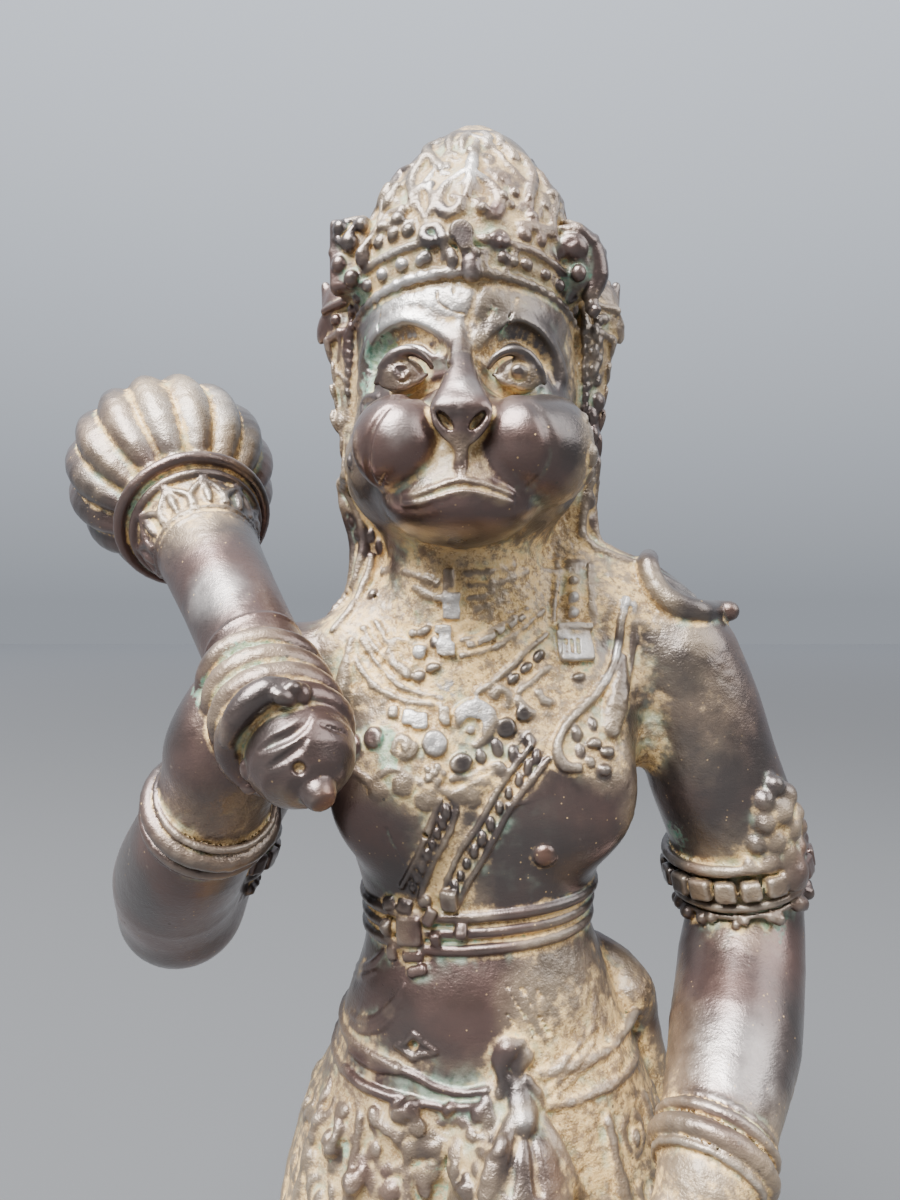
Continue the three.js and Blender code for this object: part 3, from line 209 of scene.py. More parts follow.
def loft(sections, squareness=2.0):
    """An upright form through level oval sections [z, centre x, centre y, half width, half depth]."""
    rows = np.array(sections, float)
    levels = rows[:, 0]

    def at(z, k):
        i = np.clip(np.searchsorted(levels, z, side="left") - 1, 0, len(levels) - 2)
        before = np.maximum(i - 1, 0)
        after = np.minimum(i + 2, len(levels) - 1)
        width = levels[i + 1] - levels[i]
        t = np.clip((z - levels[i]) / width, 0, 1)
        values = rows[:, k]
        slope_a = (values[i + 1] - values[before]) / (levels[i + 1] - levels[before])
        slope_b = (values[after] - values[i]) / (levels[after] - levels[i])
        return ((2 * t ** 3 - 3 * t ** 2 + 1) * values[i] + (t ** 3 - 2 * t ** 2 + t) * width * slope_a
                + (3 * t ** 2 - 2 * t ** 3) * values[i + 1] + (t ** 3 - t ** 2) * width * slope_b)

    def distance(x, y, z):
        level = z.ravel().astype(float)
        cx, cy, rx, ry = (at(level, k).astype(np.float32).reshape(z.shape) for k in (1, 2, 3, 4))
        a = np.abs(x - cx) / rx
        b = np.abs(y - cy) / ry
        near = np.maximum((a ** squareness + b ** squareness) ** (1 / squareness), 1e-6)
        side = (near - 1) * near / np.maximum(length_of(a / rx, b / ry), 1e-6)
        return np.maximum(side, np.maximum(levels[0] - z, z - levels[-1]))

    reach = rows[:, 3:5].max()
    return [form_around([(r[1], r[2], r[0]) for r in rows], reach, distance)]


def frame_of(way):
    """Two directions square to a way, and the way itself, all of length one."""
    axis = np.array(way, float) / np.linalg.norm(way)
    side = np.cross([0, 0, 1], axis)
    if np.linalg.norm(side) < 1e-3:
        side = np.cross([0, 1, 0], axis)
    side /= np.linalg.norm(side)
    return side, np.cross(axis, side), axis


def turned(base, tip, profile, ribs=0, rib_depth=0.0):
    """A turned form round an axis: profile is [along, radius] points. Ribs round it are optional."""
    side, up, axis = frame_of(np.subtract(tip, base))
    first, last = profile[0][0], profile[-1][0]

    def distance(x, y, z):
        d = (x - base[0], y - base[1], z - base[2])
        along, a, b = (sum(w[n] * d[n] for n in range(3)) for w in (axis, side, up))
        out = length_of(a, b)
        nearest = np.full(out.shape, FAR, np.float32)
        inside = np.zeros(out.shape, bool)
        for (s0, r0), (s1, r1) in zip(profile[:-1], profile[1:]):
            ds, dr = s1 - s0, r1 - r0
            t = np.clip(((along - s0) * ds + (out - r0) * dr) / (ds * ds + dr * dr), 0, 1)
            nearest = np.minimum(nearest, length_of(along - s0 - t * ds, out - r0 - t * dr))
            if ds > 0:
                here = (along >= s0) & (along < s1)
                inside = np.where(here, out < r0 + (along - s0) / ds * dr, inside)
        inside &= (along >= first) & (along <= last)
        rib = rib_depth * np.abs(np.cos(ribs * np.arctan2(b, a) / 2)) if ribs else 0.0
        return np.where(inside, -nearest, nearest) - rib

    reach = max(r for _, r in profile) + rib_depth
    ends = [np.array(base) + axis * s for s in (first, last)]
    return [form_around(ends, reach, distance)]


def smooth_min(a, b, fillet):
    if fillet <= 0:
        return np.minimum(a, b)
    h = np.maximum(fillet - np.abs(a - b), 0) / fillet
    return np.minimum(a, b) - h * h * fillet / 4


# The clay: a grid of distances to the surface

CELL_CORNERS = [(a, b, c) for a in (0, 1) for b in (0, 1) for c in (0, 1)]


def quads_along(k, inside, number):
    """A quad about each grid edge along an axis that the surface cuts, joining the four cells there."""
    n, m = (k + 1) % 3, (k + 2) % 3
    shape = number.shape
    first = [slice(1, None)] * 3
    first[k] = slice(0, shape[k])
    second = list(first)
    second[k] = slice(1, shape[k] + 1)
    for axis in (n, m):
        first[axis] = second[axis] = slice(1, shape[axis])
    a = inside[tuple(first)]
    b = inside[tuple(second)]
    edges = np.argwhere(a != b)
    outward = a[tuple(edges.T)]
    place = edges + 1
    place[:, k] -= 1
    ring = []
    for dn, dm in ((0, 0), (1, 0), (1, 1), (0, 1)):
        cell = place.copy()
        cell[:, n] -= dn
        cell[:, m] -= dm
        ring.append(number[tuple(cell.T)])
    ring = np.stack(ring, axis=1)
    whole = (ring >= 0).all(axis=1)
    return np.where(outward[:, None], ring, ring[:, ::-1])[whole]


class Clay:
    def __init__(self, low, high, cell):
        self.low = np.array(low, float)
        self.cell = cell
        count = np.ceil((np.array(high) - self.low) / cell).astype(int) + 1
        self.values = np.full(count, FAR, np.float32)
        self.marked = None
        self.axes = [(self.low[k] + cell * np.arange(count[k])).astype(np.float32) for k in range(3)]

    def mark(self):
        self.marked = self.values.copy()

    def window(self, low, high, reach):
        """The grid's cells within reach of a box, or None."""
        start = np.maximum(np.floor((low - reach - self.low) / self.cell).astype(int), 0)
        stop = np.minimum(np.ceil((high + reach - self.low) / self.cell).astype(int) + 1,
                          self.values.shape)
        return (start, stop) if (stop > start).all() else None

    def change(self, forms, fillet, cutting):
        reach = fillet + 2.2 * self.cell
        windows = [self.window(f.low, f.high, reach) for f in forms]
        kept = [(f, w) for f, w in zip(forms, windows) if w]
        if not kept:
            return
        start = np.min([w[0] for _, w in kept], axis=0)
        stop = np.max([w[1] for _, w in kept], axis=0)
        near = np.full(stop - start, FAR, np.float32)
        for form, (a, b) in kept:
            x = self.axes[0][a[0]:b[0], None, None]
            y = self.axes[1][None, a[1]:b[1], None]
            z = self.axes[2][None, None, a[2]:b[2]]
            part = near[tuple(slice(p, q) for p, q in zip(a - start, b - start))]
            np.minimum(part, form.distance(x, y, z), out=part)
        place = tuple(slice(p, q) for p, q in zip(start, stop))
        old = self.values[place]
        new = -smooth_min(-old, near, fillet) if cutting else smooth_min(old, near, fillet)
        self.values[place] = np.where(near < FAR / 2, new, old)

    def at(self, points, values=None):
        """The value at each point, eased between the grid's cells."""
        v = self.values if values is None else values
        g = (points - self.low) / self.cell
        i = np.clip(np.floor(g).astype(np.int64), 0, np.array(v.shape) - 2)
        f = np.clip(g - i, 0, 1)
        flat = v.ravel()
        step = (v.shape[1] * v.shape[2], v.shape[2], 1)
        base = i @ np.array(step)
        total = np.zeros(len(points))
        for dx in (0, 1):
            for dy in (0, 1):
                for dz in (0, 1):
                    share = (np.where(dx, f[:, 0], 1 - f[:, 0]) * np.where(dy, f[:, 1], 1 - f[:, 1])
                             * np.where(dz, f[:, 2], 1 - f[:, 2]))
                    total += share * flat[base + dx * step[0] + dy * step[1] + dz * step[2]]
        return total

    def slope(self, points):
        """The way in which the value grows fastest, at each point."""
        reach = 0.6 * self.cell
        sides = []
        for k in range(3):
            step = np.zeros(3)
            step[k] = reach
            sides.append((self.at(points + step) - self.at(points - step)) / (2 * reach))
        return np.stack(sides, axis=1)

    def skin(self, low, high):
        """Vertices and quads of the surface in the cells between two corners (surface nets)."""
        inside = self.values < 0
        on_surface = self.cells_on_surface(inside, low, high)
        cells = np.argwhere(on_surface)
        number = np.full(on_surface.shape, -1, np.int64)
        number[on_surface] = np.arange(len(cells))
        points = self.low + self.cell * (cells + self.crossings(cells))
        quads = np.concatenate([quads_along(k, inside, number) for k in range(3)])
        used = np.zeros(len(points), bool)
        used[quads] = True
        again = np.cumsum(used) - 1
        return self.settle(points[used]), again[quads]

    def cells_on_surface(self, inside, low, high):
        """Which cells between two corners of space have grid points on both sides of the surface."""
        shape = np.array(inside.shape) - 1
        count = np.zeros(shape, np.int8)
        for c in CELL_CORNERS:
            count += inside[tuple(slice(c[k], c[k] + shape[k]) for k in range(3))]
        margin = 0.8 * self.cell
        wanted = []
        for k in range(3):
            centre = self.low[k] + self.cell * (np.arange(shape[k]) + 0.5)
            wanted.append((centre >= low[k] - margin) & (centre < high[k] + margin))
        return ((count > 0) & (count < 8)
                & wanted[0][:, None, None] & wanted[1][None, :, None] & wanted[2][None, None, :])

    def crossings(self, cells):
        """The mean place in each cell, from 0 to 1, where the surface cuts the cell's edges."""
        v = self.values
        total = np.zeros((len(cells), 3))
        hits = np.zeros(len(cells))
        for a in CELL_CORNERS:
            for k in range(3):
                if a[k]:
                    continue
                b = tuple(1 if n == k else a[n] for n in range(3))
                va = v[tuple((cells + a).T)]
                vb = v[tuple((cells + b).T)]
                cross = (va < 0) != (vb < 0)
                t = np.where(cross, va / np.where(cross, va - vb, 1), 0)
                at = np.tile(np.array(a, float), (len(cells), 1))
                at[:, k] += t
                total += at * cross[:, None]
                hits += cross
        return total / hits[:, None]

    def settle(self, points):
        """Moves points onto the surface."""
        for _ in range(2):
            way = self.slope(points)
            size2 = np.maximum((way ** 2).sum(1), 0.05)
            step = (self.at(points) / size2)[:, None] * way
            far = np.linalg.norm(step, axis=1) / (0.5 * self.cell)
            points = points - step / np.maximum(far, 1)[:, None]
        return points


class Wear:
    """Rubs relief down: what was added since the last mark stands out by no more than a height."""

    def __init__(self, low, high, height):
        self.low = np.asarray(low, float)
        self.high = np.asarray(high, float)
        self.height = height

    def apply(self, clay):
        window = clay.window(self.low, self.high, 0)
        if not window or clay.marked is None:
            return
        place = tuple(slice(p, q) for p, q in zip(*window))
        ground = clay.marked[place] - self.height
        raised = clay.values[place]
        worn = -smooth_min(-raised, -ground, WEAR_SOFTNESS)
        clay.values[place] = np.where(ground < FAR / 2, worn, raised)


class Sculpture:
    """The steps of the sculpture, in order, and a draft of it on which forms are placed."""

    def __init__(self):
        self.steps = []
        self.bosses = []  # places and sizes of the bosses that are rubbed bare
        self.draft = Clay(CLAY_LOW, CLAY_HIGH, DRAFT_CELL)

    def put(self, forms, fillet, cutting):
        self.take(lambda clay: clay.change(forms, fillet, cutting))

    def take(self, step):
        self.steps.append(step)
        step(self.draft)

    def mark(self):
        """Remembers the surface as it is now, for wear."""
        self.take(Clay.mark)

    def wear(self, low, high, height):
        """Rubs what was added since the mark, within a box, down to a height."""
        self.take(Wear(low, high, height).apply)

    def add(self, forms, fillet=0.0):
        self.put(forms, fillet, False)

    def cut(self, forms, fillet):
        self.put(forms, fillet, True)

    def hit(self, start, way):
        """The first point of the surface on a straight way, or the nearest to it where it just misses."""
        direction = np.array(way, float) / np.linalg.norm(way)
        step = DRAFT_CELL / 2
        s = np.arange(0, SIGHT, step)
        points = np.array(start, float) + s[:, None] * direction
        shape = np.array(self.draft.values.shape) - 1
        g = (points - self.draft.low) / self.draft.cell
        here = ((g >= 0) & (g <= shape)).all(axis=1)
        values = np.where(here, self.draft.at(points), FAR)
        inside = np.flatnonzero(values <= 0)
        if not len(inside):
            n = int(np.argmin(values))
            if values[n] > NEAR_MISS:
                raise ValueError(f"no surface on the way from {start} along {way}")
            return self.draft.settle(points[n:n + 1])[0]
        n = inside[0]
        back = values[n] / (values[n] - values[n - 1]) * step if values[n - 1] < FAR / 2 else 0
        return points[n] - direction * back

    def seen(self, px, py):
        """The point of the surface that the photograph shows at a pixel."""
        way = ((px - PHOTO_WIDTH / 2) / FOCAL, 1.0, -(py - PHOTO_HEIGHT / 2) / FOCAL)
        return self.hit(CAMERA, way)

    def around(self, middle, angle, z, far=60.0):
        """The point of the surface at an angle round an upright axis; angle 0 is in front."""
        out = np.array([math.sin(angle), -math.cos(angle), 0.0])
        return self.hit((middle[0] + far * out[0], middle[1] + far * out[1], z), -out)

    def region(self, low, high, cell):
        """The clay of one region, worked through all steps."""
        margin = 3 * cell
        clay = Clay(np.array(low) - margin, np.array(high) + margin, cell)
        for step in self.steps:
            step(clay)
        depth = -SOLE_DEPTH - clay.axes[2][None, None, :]
        clay.values = np.maximum(clay.values, depth)
        return clay


# Helpers that place relief on the surface

def ring_round(s, middle, level, thick, fillet, count, far=60.0):
    """A ring that follows the surface round an upright axis."""
    angles = [i / count * 2 * math.pi for i in range(count)]
    knots = [(*s.around(middle, a, level(a), far), thick) for a in angles]
    s.add(rod(knots, closed=True, steps=2), fillet)


def ring_across(s, centre, radius, thick, axis=(0, 0, 1), fillet=0.6, twist=0):
    """A ring of round section square to an axis, or a rope of it if twist is a number of turns."""
    side, up, _ = frame_of(axis)
    count = max(16, 4 * twist)
    knots = []
    for i in range(count):
        a = i / count * 2 * math.pi
        swell = 1 + 0.16 * math.cos(twist * a) if twist else 1
        at = np.array(centre) + radius * (side * math.cos(a) + up * math.sin(a))
        knots.append((*at, thick * swell))
    s.add(rod(knots, closed=True, steps=2), fillet)


def facing(s, at):
    """Local axes, as rows, of what lies on the surface at a point: across, outwards, up."""
    out = s.draft.slope(np.array([at]))[0]
    out /= max(np.linalg.norm(out), 1e-6)
    across = np.cross([0, 0, 1], -out)
    across /= max(np.linalg.norm(across), 1e-6)
    return np.array([across, out, np.cross(out, across)])


def rolled(axes, degrees):
    """The same axes, turned about the outward one."""
    a = math.radians(degrees)
    across, out, up = axes
    return np.array([across * math.cos(a) + up * math.sin(a), out,
                     up * math.cos(a) - across * math.sin(a)])


def lay(s, places, thick, fillet=1.0, lift=None, steps=4, cutting=False, closed=False):
    """A raised or cut line through places on the surface, lifted off it or sunk into it."""
    sizes = thick if isinstance(thick, (list, tuple)) else [thick] * len(places)
    places = np.array(places, float)
    if lift is None:
        lift = 0 if cutting else RELIEF_SUNK
    if lift:
        out = s.draft.slope(places)
        places = places + lift * out / np.maximum(np.linalg.norm(out, axis=1), 1e-6)[:, None]
    s.put(rod([(*p, r) for p, r in zip(places, sizes)], closed, steps), fillet, cutting)


def stroke(s, pixels, thick, **how):
    """Such a line along pixels of the photograph."""
    lay(s, [s.seen(*p) for p in pixels], thick, **how)


def strokes(s, lines, thick, **how):
    """Such lines, each with as many of the thicknesses as it has pixels, or all of one thickness."""
    for pixels in lines:
        stroke(s, pixels, thick if np.isscalar(thick) else thick[:len(pixels)], **how)


def scroll(s, middle, radius, start, sweep, thick):
    """A spiral line about a pixel, from a radius inwards. Angles run clockwise in the photograph."""
    count = max(4, round(abs(sweep) / 35))
    pixels = []
    for i in range(count + 1):
        share = i / count
        angle = math.radians(start + sweep * share)
        reach = radius * (1 - 0.72 * share)
        pixels.append((middle[0] + reach * math.cos(angle), middle[1] + reach * math.sin(angle)))
    sizes = [thick * (0.8 + 0.4 * i / count) for i in range(count + 1)]
    stroke(s, pixels, sizes, steps=2)


def bead(s, pixel, wide, high=None, tall=0.7, lean=0, fillet=0.7):
    """A boss on the surface at a pixel: half width, half height, and how far it stands out."""
    at = s.seen(*pixel)
    axes = rolled(facing(s, at), lean)
    s.add(egg(at, (wide, tall * wide, high or wide), axes=axes), fillet)
    if max(wide, high or wide) >= 1.5 and tall >= 0.7:
        s.bosses.append((at, max(wide, high or wide)))


def beads(s, rows, tall=0.7, lean=0, fillet=0.7):
    """Such bosses: each row is a pixel's x and y, half width, half height and, if it differs, lean."""
    for px, py, wide, high, *own in rows:
        bead(s, (px, py), wide, high, tall, own[0] if own else lean, fillet)


def block(s, pixel, wide, high, tall, lean=0, rounding=0.5, fillet=0.6):
    """A flat-topped block on the surface at a pixel."""
    at = s.seen(*pixel)
    s.add(slab(at, (wide, tall, high), rounding, rolled(facing(s, at), lean)), fillet)


def dent(s, pixel, wide, deep, fillet=0.3):
    at = s.seen(*pixel)
    s.cut(egg(at, (wide, deep, wide), axes=facing(s, at)), fillet)


# Anatomy

def add_trunk(s):
    s.add(loft([
        (94, 2, -3, 56, 36),
        (104, 2, -3, 55, 36),
        (120, 2, -2, 52.5, 36),
        (136, 3, -1, 50, 35),
        (150, 3, 0, 47, 34),
        (165, 4, 0, 44, 32),
        (180, 4, -1, 40.5, 30),
        (194, 3, -1, 35.5, 26),
        (206, 3, -1, 31.5, 24),
        (217, 2, -1, 29.5, 23),
        (228, 2, -1, 32, 24),
        (240, 2, -1, 36.5, 25),
        (252, 3, -1, 40, 25),
        (264, 3, 0, 43, 24.5),
        (276, 3, 1, 45, 23),
        (286, 2, 2, 43, 20),
        (295, 1, 3, 35, 16),
        (303, 0, 3, 25, 12),
    ], 2.3))
    s.add(rod([(0, 3, 288, 24), (-1, 2, 305, 22), (-2, 2, 322, 20)]), 7)
    s.add(egg((37, 3, 294), (24, 14, 11), (0, 24, 0)), 7)  # slope of the left shoulder
    s.add(rod([(22, 6, 312, 8), (36, 5, 305, 8), (52, 3, 296, 9)]), 6)
    s.add(egg((-29, 3, 287), (24, 14, 10), (0, -24, 0)), 7)  # slope of the right shoulder
    for side in BOTH_SIDES:
        s.add(egg((3 + side * 19, -15, 250), (20, 12, 21)), 5)  # breast
        s.add(egg((3 + side * 19, 12, 262), (21, 14, 28)), 6)  # shoulder blade
        s.add(egg((4 + side * 17, 17, 164), (20, 17, 22)), 6)  # seat
    s.add(egg((2, -14, 196), (26, 15, 18)), 7)  # belly


def add_head(s):
    s.add(egg((FACE_MIDDLE + 1.8, 1, 354), (30, 31.5, 36)), 4)
    s.add(egg((FACE_MIDDLE + 1.2, -3, 369), (27.6, 27.8, 14)), 6)  # forehead, up to the crown
    s.add(egg((FACE_MIDDLE + 1.2, -9, 332.5), (31, 27, 22.5)), 7)  # jaw and jowls
    s.add(egg((FACE_MIDDLE, -29, 329), (20, 15.5, 17)), 6)  # muzzle
    s.add(egg((FACE_MIDDLE, -33, 320.5), (17, 14.6, 9)), 5)  # chin
    for side in BOTH_SIDES:
        x = FACE_MIDDLE + side * 14
        s.add(egg((x, -37, 333.5), (10.8, 12, 11.2)), 0.8 if side < 0 else 3)  # cheek pouch
        s.cut(egg((x, -32, 352), (9, 5.5, 7)), 2.5)  # eye socket
        if side > 0:
            s.add(egg((x + 6.5, -31, 333), (11, 13, 13)), 4)
    bridge = [(-29.5, 360, 2), (-34.6, 354, 2.8), (-39.4, 348.6, 3.6), (-43, 343.4, 4)]
    s.add(rod([(FACE_MIDDLE, y, z, r) for y, z, r in bridge]), 4)


def add_crown(s):
    s.add(loft([
        (372, -2, 3, 30, 32),
        (378, -2, 3, 31.5, 34),
        (387, -2, 3, 31, 33.5),
        (395, -1, 3, 28, 30.5),
        (403, 0, 3, 24.5, 27),
        (411, 0, 4, 20, 22.5),
        (418, 1, 4, 15, 17),
        (423, 1, 5.5, 10, 10.5),
        (426, 1.5, 6, 5, 5),
    ]), 1)
    s.add(egg((1.5, 6.5, 419.8), (10.5, 11, 8.4)), 2)


def add_ear_wings(s):
    for side in BOTH_SIDES:
        def placed(knots):
            return [(0.3 + side * offset, *rest) for offset, *rest in knots]

        wing = [(39.8, 3, 384, 1.3), (38, 3, 378, 2.8), (35.2, 2, 369, 3.6), (32.4, 1, 355, 3.8),
                (31, 0, 342, 3.6), (30.5, 0, 333, 3.4)]
        s.add(rod(placed(wing)), 1.5)
        s.add(egg((0.3 + side * 35.2, 1, 376.5), (4.6, 4.4, 8.5)), 2)
        s.add(rod(placed([(33, 0, 379, 4.4), (30.5, 0, 366, 6), (28, 1, 350, 6)])), 1.5)
        s.add(rod(placed([(29, 3, 338, 5), (28, 5, 326, 6.5), (26.5, 5, 313, 6), (28, 3, 300, 5)])), 3)


def add_left_arm(s):
    s.add(rod([(57, 2, 281, 16.6), (61.5, 2, 269, 17), (66.5, 3, 252, 17.6), (72, 5, 238, 17.6),
               (76, 8, 224, 16), (77.5, 9, 211, 15.6), (74, 2, 199, 16.6), (67, -14, 187, 16.2),
               (59, -29, 177, 13.6), (52, -41, 168, 11)], steps=14), 6)
    s.add(rod([(40, 3, 263, 9), (54, 3, 263, 9)]), 5)  # web of the armpit
    s.add(egg((46, -45, 154), (12, 8, 15), (12, -18, 0)), 5)  # hand on the front of the thigh
    for x, y, length in ((39, -46.5, 20), (44.5, -48, 23), (50, -48, 22), (55, -46, 18)):
        s.add(rod([(x, y, 148, 3.9), (x - 2, y + 0.5, 148 - length / 2, 3.7),
                   (x - 3.5, y + 6, 148 - length, 3.1)]), 0.8)
        nail = (x - 3.7, y + 2.2, 149 - length)
        s.add(egg(nail, (1.9, 0.9, 2.4)), 0.2)
        for share in (0.35, 0.68):
            crease = np.array([x - 3 * share, y - 3.6, 148 - length * share])
            s.cut(rod([(*(crease - (2.4, 0, 0)), 0.35), (*(crease + (2.4, 0, 0)), 0.35)], steps=1), 0.3)
    s.add(rod([(38, -43, 158, 4.6), (32, -43, 149, 4.2), (29, -40, 141, 3.4)]), 1.2)  # thumb


FIST = np.array([-43.0, -47.0, 276.0])  # where the club's axis passes through the right fist
CLUB_HEAD = np.array([-88.4, 25.0, 335.5])
CLUB_REACH = float(np.linalg.norm(CLUB_HEAD - FIST))
HANDLE_RADIUS = 10.8
HEAD_RADIUS = 27.5


def add_right_arm(s):
    s.add(rod([(-50, 2, 275, 17), (-58, 3, 264, 18), (-66, 5, 248, 17.6), (-74, 8, 230, 16.8),
               (-80.5, 9, 213, 16.4)], steps=14), 6)
    s.add(rod([(-80.5, 8, 213, 16.6), (-77, -5, 225, 16.8), (-69, -20, 238, 15.2),
               (-61.5, -30, 250, 13.2), (-57, -37, 262, 13)], steps=14), 3)
    s.add(egg((-55, -40, 270), (11.5, 13, 17), (-20, 20, 0)), 5)  # back of the hand


def add_fist(s):
    axis = (CLUB_HEAD - FIST) / CLUB_REACH
    to_palm = np.array([-1, 0.1, -0.6])
    to_palm -= axis * (to_palm @ axis)
    to_palm /= np.linalg.norm(to_palm)
    across = np.cross(axis, to_palm)
    for along, thick in ((8.2, 2.9), (2, 3.1), (-4.2, 3.2), (-10.4, 3.3)):
        knots = []
        count = 26
        for i in range(count):
            share = i / (count - 1)
            angle = math.radians(-25 + 262 * share)
            out = 11.6 + 1.4 * math.cos(angle) + 0.35 * math.cos(3 * angle + 0.6 + along)
            tilt = axis * (along + 1.6 * math.sin(angle) - 1.5 * share)
            at = FIST + tilt + out * (to_palm * math.cos(angle) + across * math.sin(angle))
            knots.append((*at, thick * (1 - 0.22 * share ** 4)))
        s.add(chain(knots), 0.5)


def add_club(s):
    neck = CLUB_REACH - 28
    handle = [(-30.5, 0), (-30.2, 2.4), (-28.6, 3.3), (-26.6, 3.8), (-25.4, 6.4), (-22.4, 9.6),
              (-18.4, 11.3), (-14.6, 11.2), (-11, 10.4), (0, HANDLE_RADIUS),
              (neck * 0.5, HANDLE_RADIUS * 1.1),
              (neck - 15, HANDLE_RADIUS * 1.22), (neck - 3.4, HANDLE_RADIUS * 1.48), (neck - 1, 17.4),
              (neck + 0.6, 19.2), (neck + 4, 19), (neck + 6, 19), (neck + 6, 0)]
    s.add(turned(FIST, CLUB_HEAD, handle), 0.8)
    steps = 20
    angles = [math.pi * (1 - i / steps) for i in range(steps + 1)]
    ball = [(CLUB_REACH + HEAD_RADIUS * 0.96 * math.cos(a), HEAD_RADIUS * math.sin(a)) for a in angles]
    s.add(turned(FIST, CLUB_HEAD, ball, ribs=16, rib_depth=2.4), 0.6)
    tip = CLUB_REACH + HEAD_RADIUS * 0.96
    s.add(turned(FIST, CLUB_HEAD, [(tip - 5, 0), (tip - 5, 7), (tip + 1, 5.5), (tip + 4, 0)]), 1)


LEGS = (
    {"hip": (23, 0, 156), "knee": (38, -16, 84), "ankle": (41, 5, 26), "toes": (51, -33, 6)},
    {"hip": (-18, 0, 156), "knee": (-34, -13, 84), "ankle": (-37, 9, 26), "toes": (-47, -29, 6)},
)


def add_legs(s):
    for leg in LEGS:
        hip, knee, ankle = (np.array(leg[k], float) for k in ("hip", "knee", "ankle"))

        def between(a, b, t, back, r):
            at = a + (b - a) * t
            return (at[0], at[1] + back, at[2], r)

        s.add(rod([(*hip, 27), between(hip, knee, 0.5, -4, 25.5), (*knee, 19.5)]), 6)
        shin = [(*knee, 18), between(knee, ankle, 0.35, 5, 18.5), between(knee, ankle, 0.7, 2, 14)]
        s.add(rod([*shin, (*ankle, 11), (ankle[0], ankle[1] + 2, 10, 11.5)]), 4)
        s.add(egg((knee[0], knee[1] - 6, knee[2]), (13, 12, 14)), 4)
        add_foot(s, ankle, np.array(leg["toes"], float))
        for level, thick in ((22, 2), (27, 2), (30.6, 1.2)):
            ring_across(s, (ankle[0], ankle[1], level), 12.6, thick)


def add_foot(s, ankle, toes):
    way = toes - ankle
    way[2] = 0
    way /= np.linalg.norm(way)
    aside = np.array([-way[1], way[0], 0])

    def point(forward, across, z, r):
        at = ankle + way * forward + aside * across
        return (at[0], at[1], z, r)

    s.add(rod([point(-7, 0, 7, 9), point(8, 0, 9.5, 10), point(22, 0, 6.5, 8.5)]), 4)
    s.add(rod([point(18, -8, 5, 6), point(18, 8, 5, 6)]), 4)
    for across in (-12, -6, 0, 6, 12):
        reach = 39 - abs(across) * 0.35
        s.add(rod([point(18, across * 0.85, 5, 4.4), point(reach, across, 3.8, 3.8)]), 0.8)
        tip = point(reach + 1, across, 6.6, 0)[:3]
        s.add(egg(tip, (2.6, 2.6, 1.2)), 0.3)


def add_cloth(s):
    ring_round(s, (1, 0), lambda a: 104 - 4 * math.cos(2 * a) + 2.5 * math.cos(6 * a), 3.4, 3, 30, 90)
    folds = 18
    for i in range(folds):
        angle = (i + 0.5) / folds * 2 * math.pi
        knots = [(*s.around((2, 0), angle + k * 0.03, z, 90), 1.2 + k * 0.45)
                 for k, z in enumerate((172, 150, 126, 110))]
        s.add(rod(knots), 1.6)
    pleat = [(6, -27, 180), (5, -35, 160), (4, -36, 130), (3, -32, 90), (2, -27, 50), (1, -25, 14),
             (1, -25, -6)]
    spread = (3, 6, 8, 8, 8.5, 10, 10)
    fall = [(3, 32, 172), (3, 36, 140), (2, 33, 90), (1, 27, 40), (1, 26, -6)]
    for across in (-1, 1, 0):
        wide = 5 if across else 6
        s.add(rod([(x + across * w, y, z, wide) for (x, y, z), w in zip(pleat, spread)]), 1.2)
        s.add(rod([(x + across * (3 + 1.6 * k), y, z, 6.5) for k, (x, y, z) in enumerate(fall)]), 3)
    # Knot of the sash on the left hip, with its two ends
    s.add(rod([(35, 8, 200, 5), (40.5, 7, 195, 6.5), (45, 6, 188, 6)]), 4)
    s.add(egg((43, 5, 190), (8, 9, 8), (0, 20, 0)), 2)
    s.add(rod([(46, 5, 184, 6), (50, 5, 160, 6.5), (53, 4, 132, 7), (55, 3, 112, 6)]), 2.5)


def add_tail(s):
    s.add(rod([(4, 30, 176, 9), (8, 46, 182, 8.5), (15, 55, 204, 8), (24, 52, 236, 7.2),
               (33, 42, 268, 6.4), (40, 29, 291, 5.6), (45, 15, 300.5, 5)], steps=14), 2)
    end = [(650, 556), (647, 566), (650, 580), (660, 595), (677, 607), (697, 613), (716, 613), (731, 609)]
    stroke(s, end, [2.6, 3, 3.4, 3.6, 3.6, 3.4, 3.2, 2.8], lift=0.5, fillet=1, steps=6)


# Relief: what the photograph shows is placed by its pixels, and the rest by angles

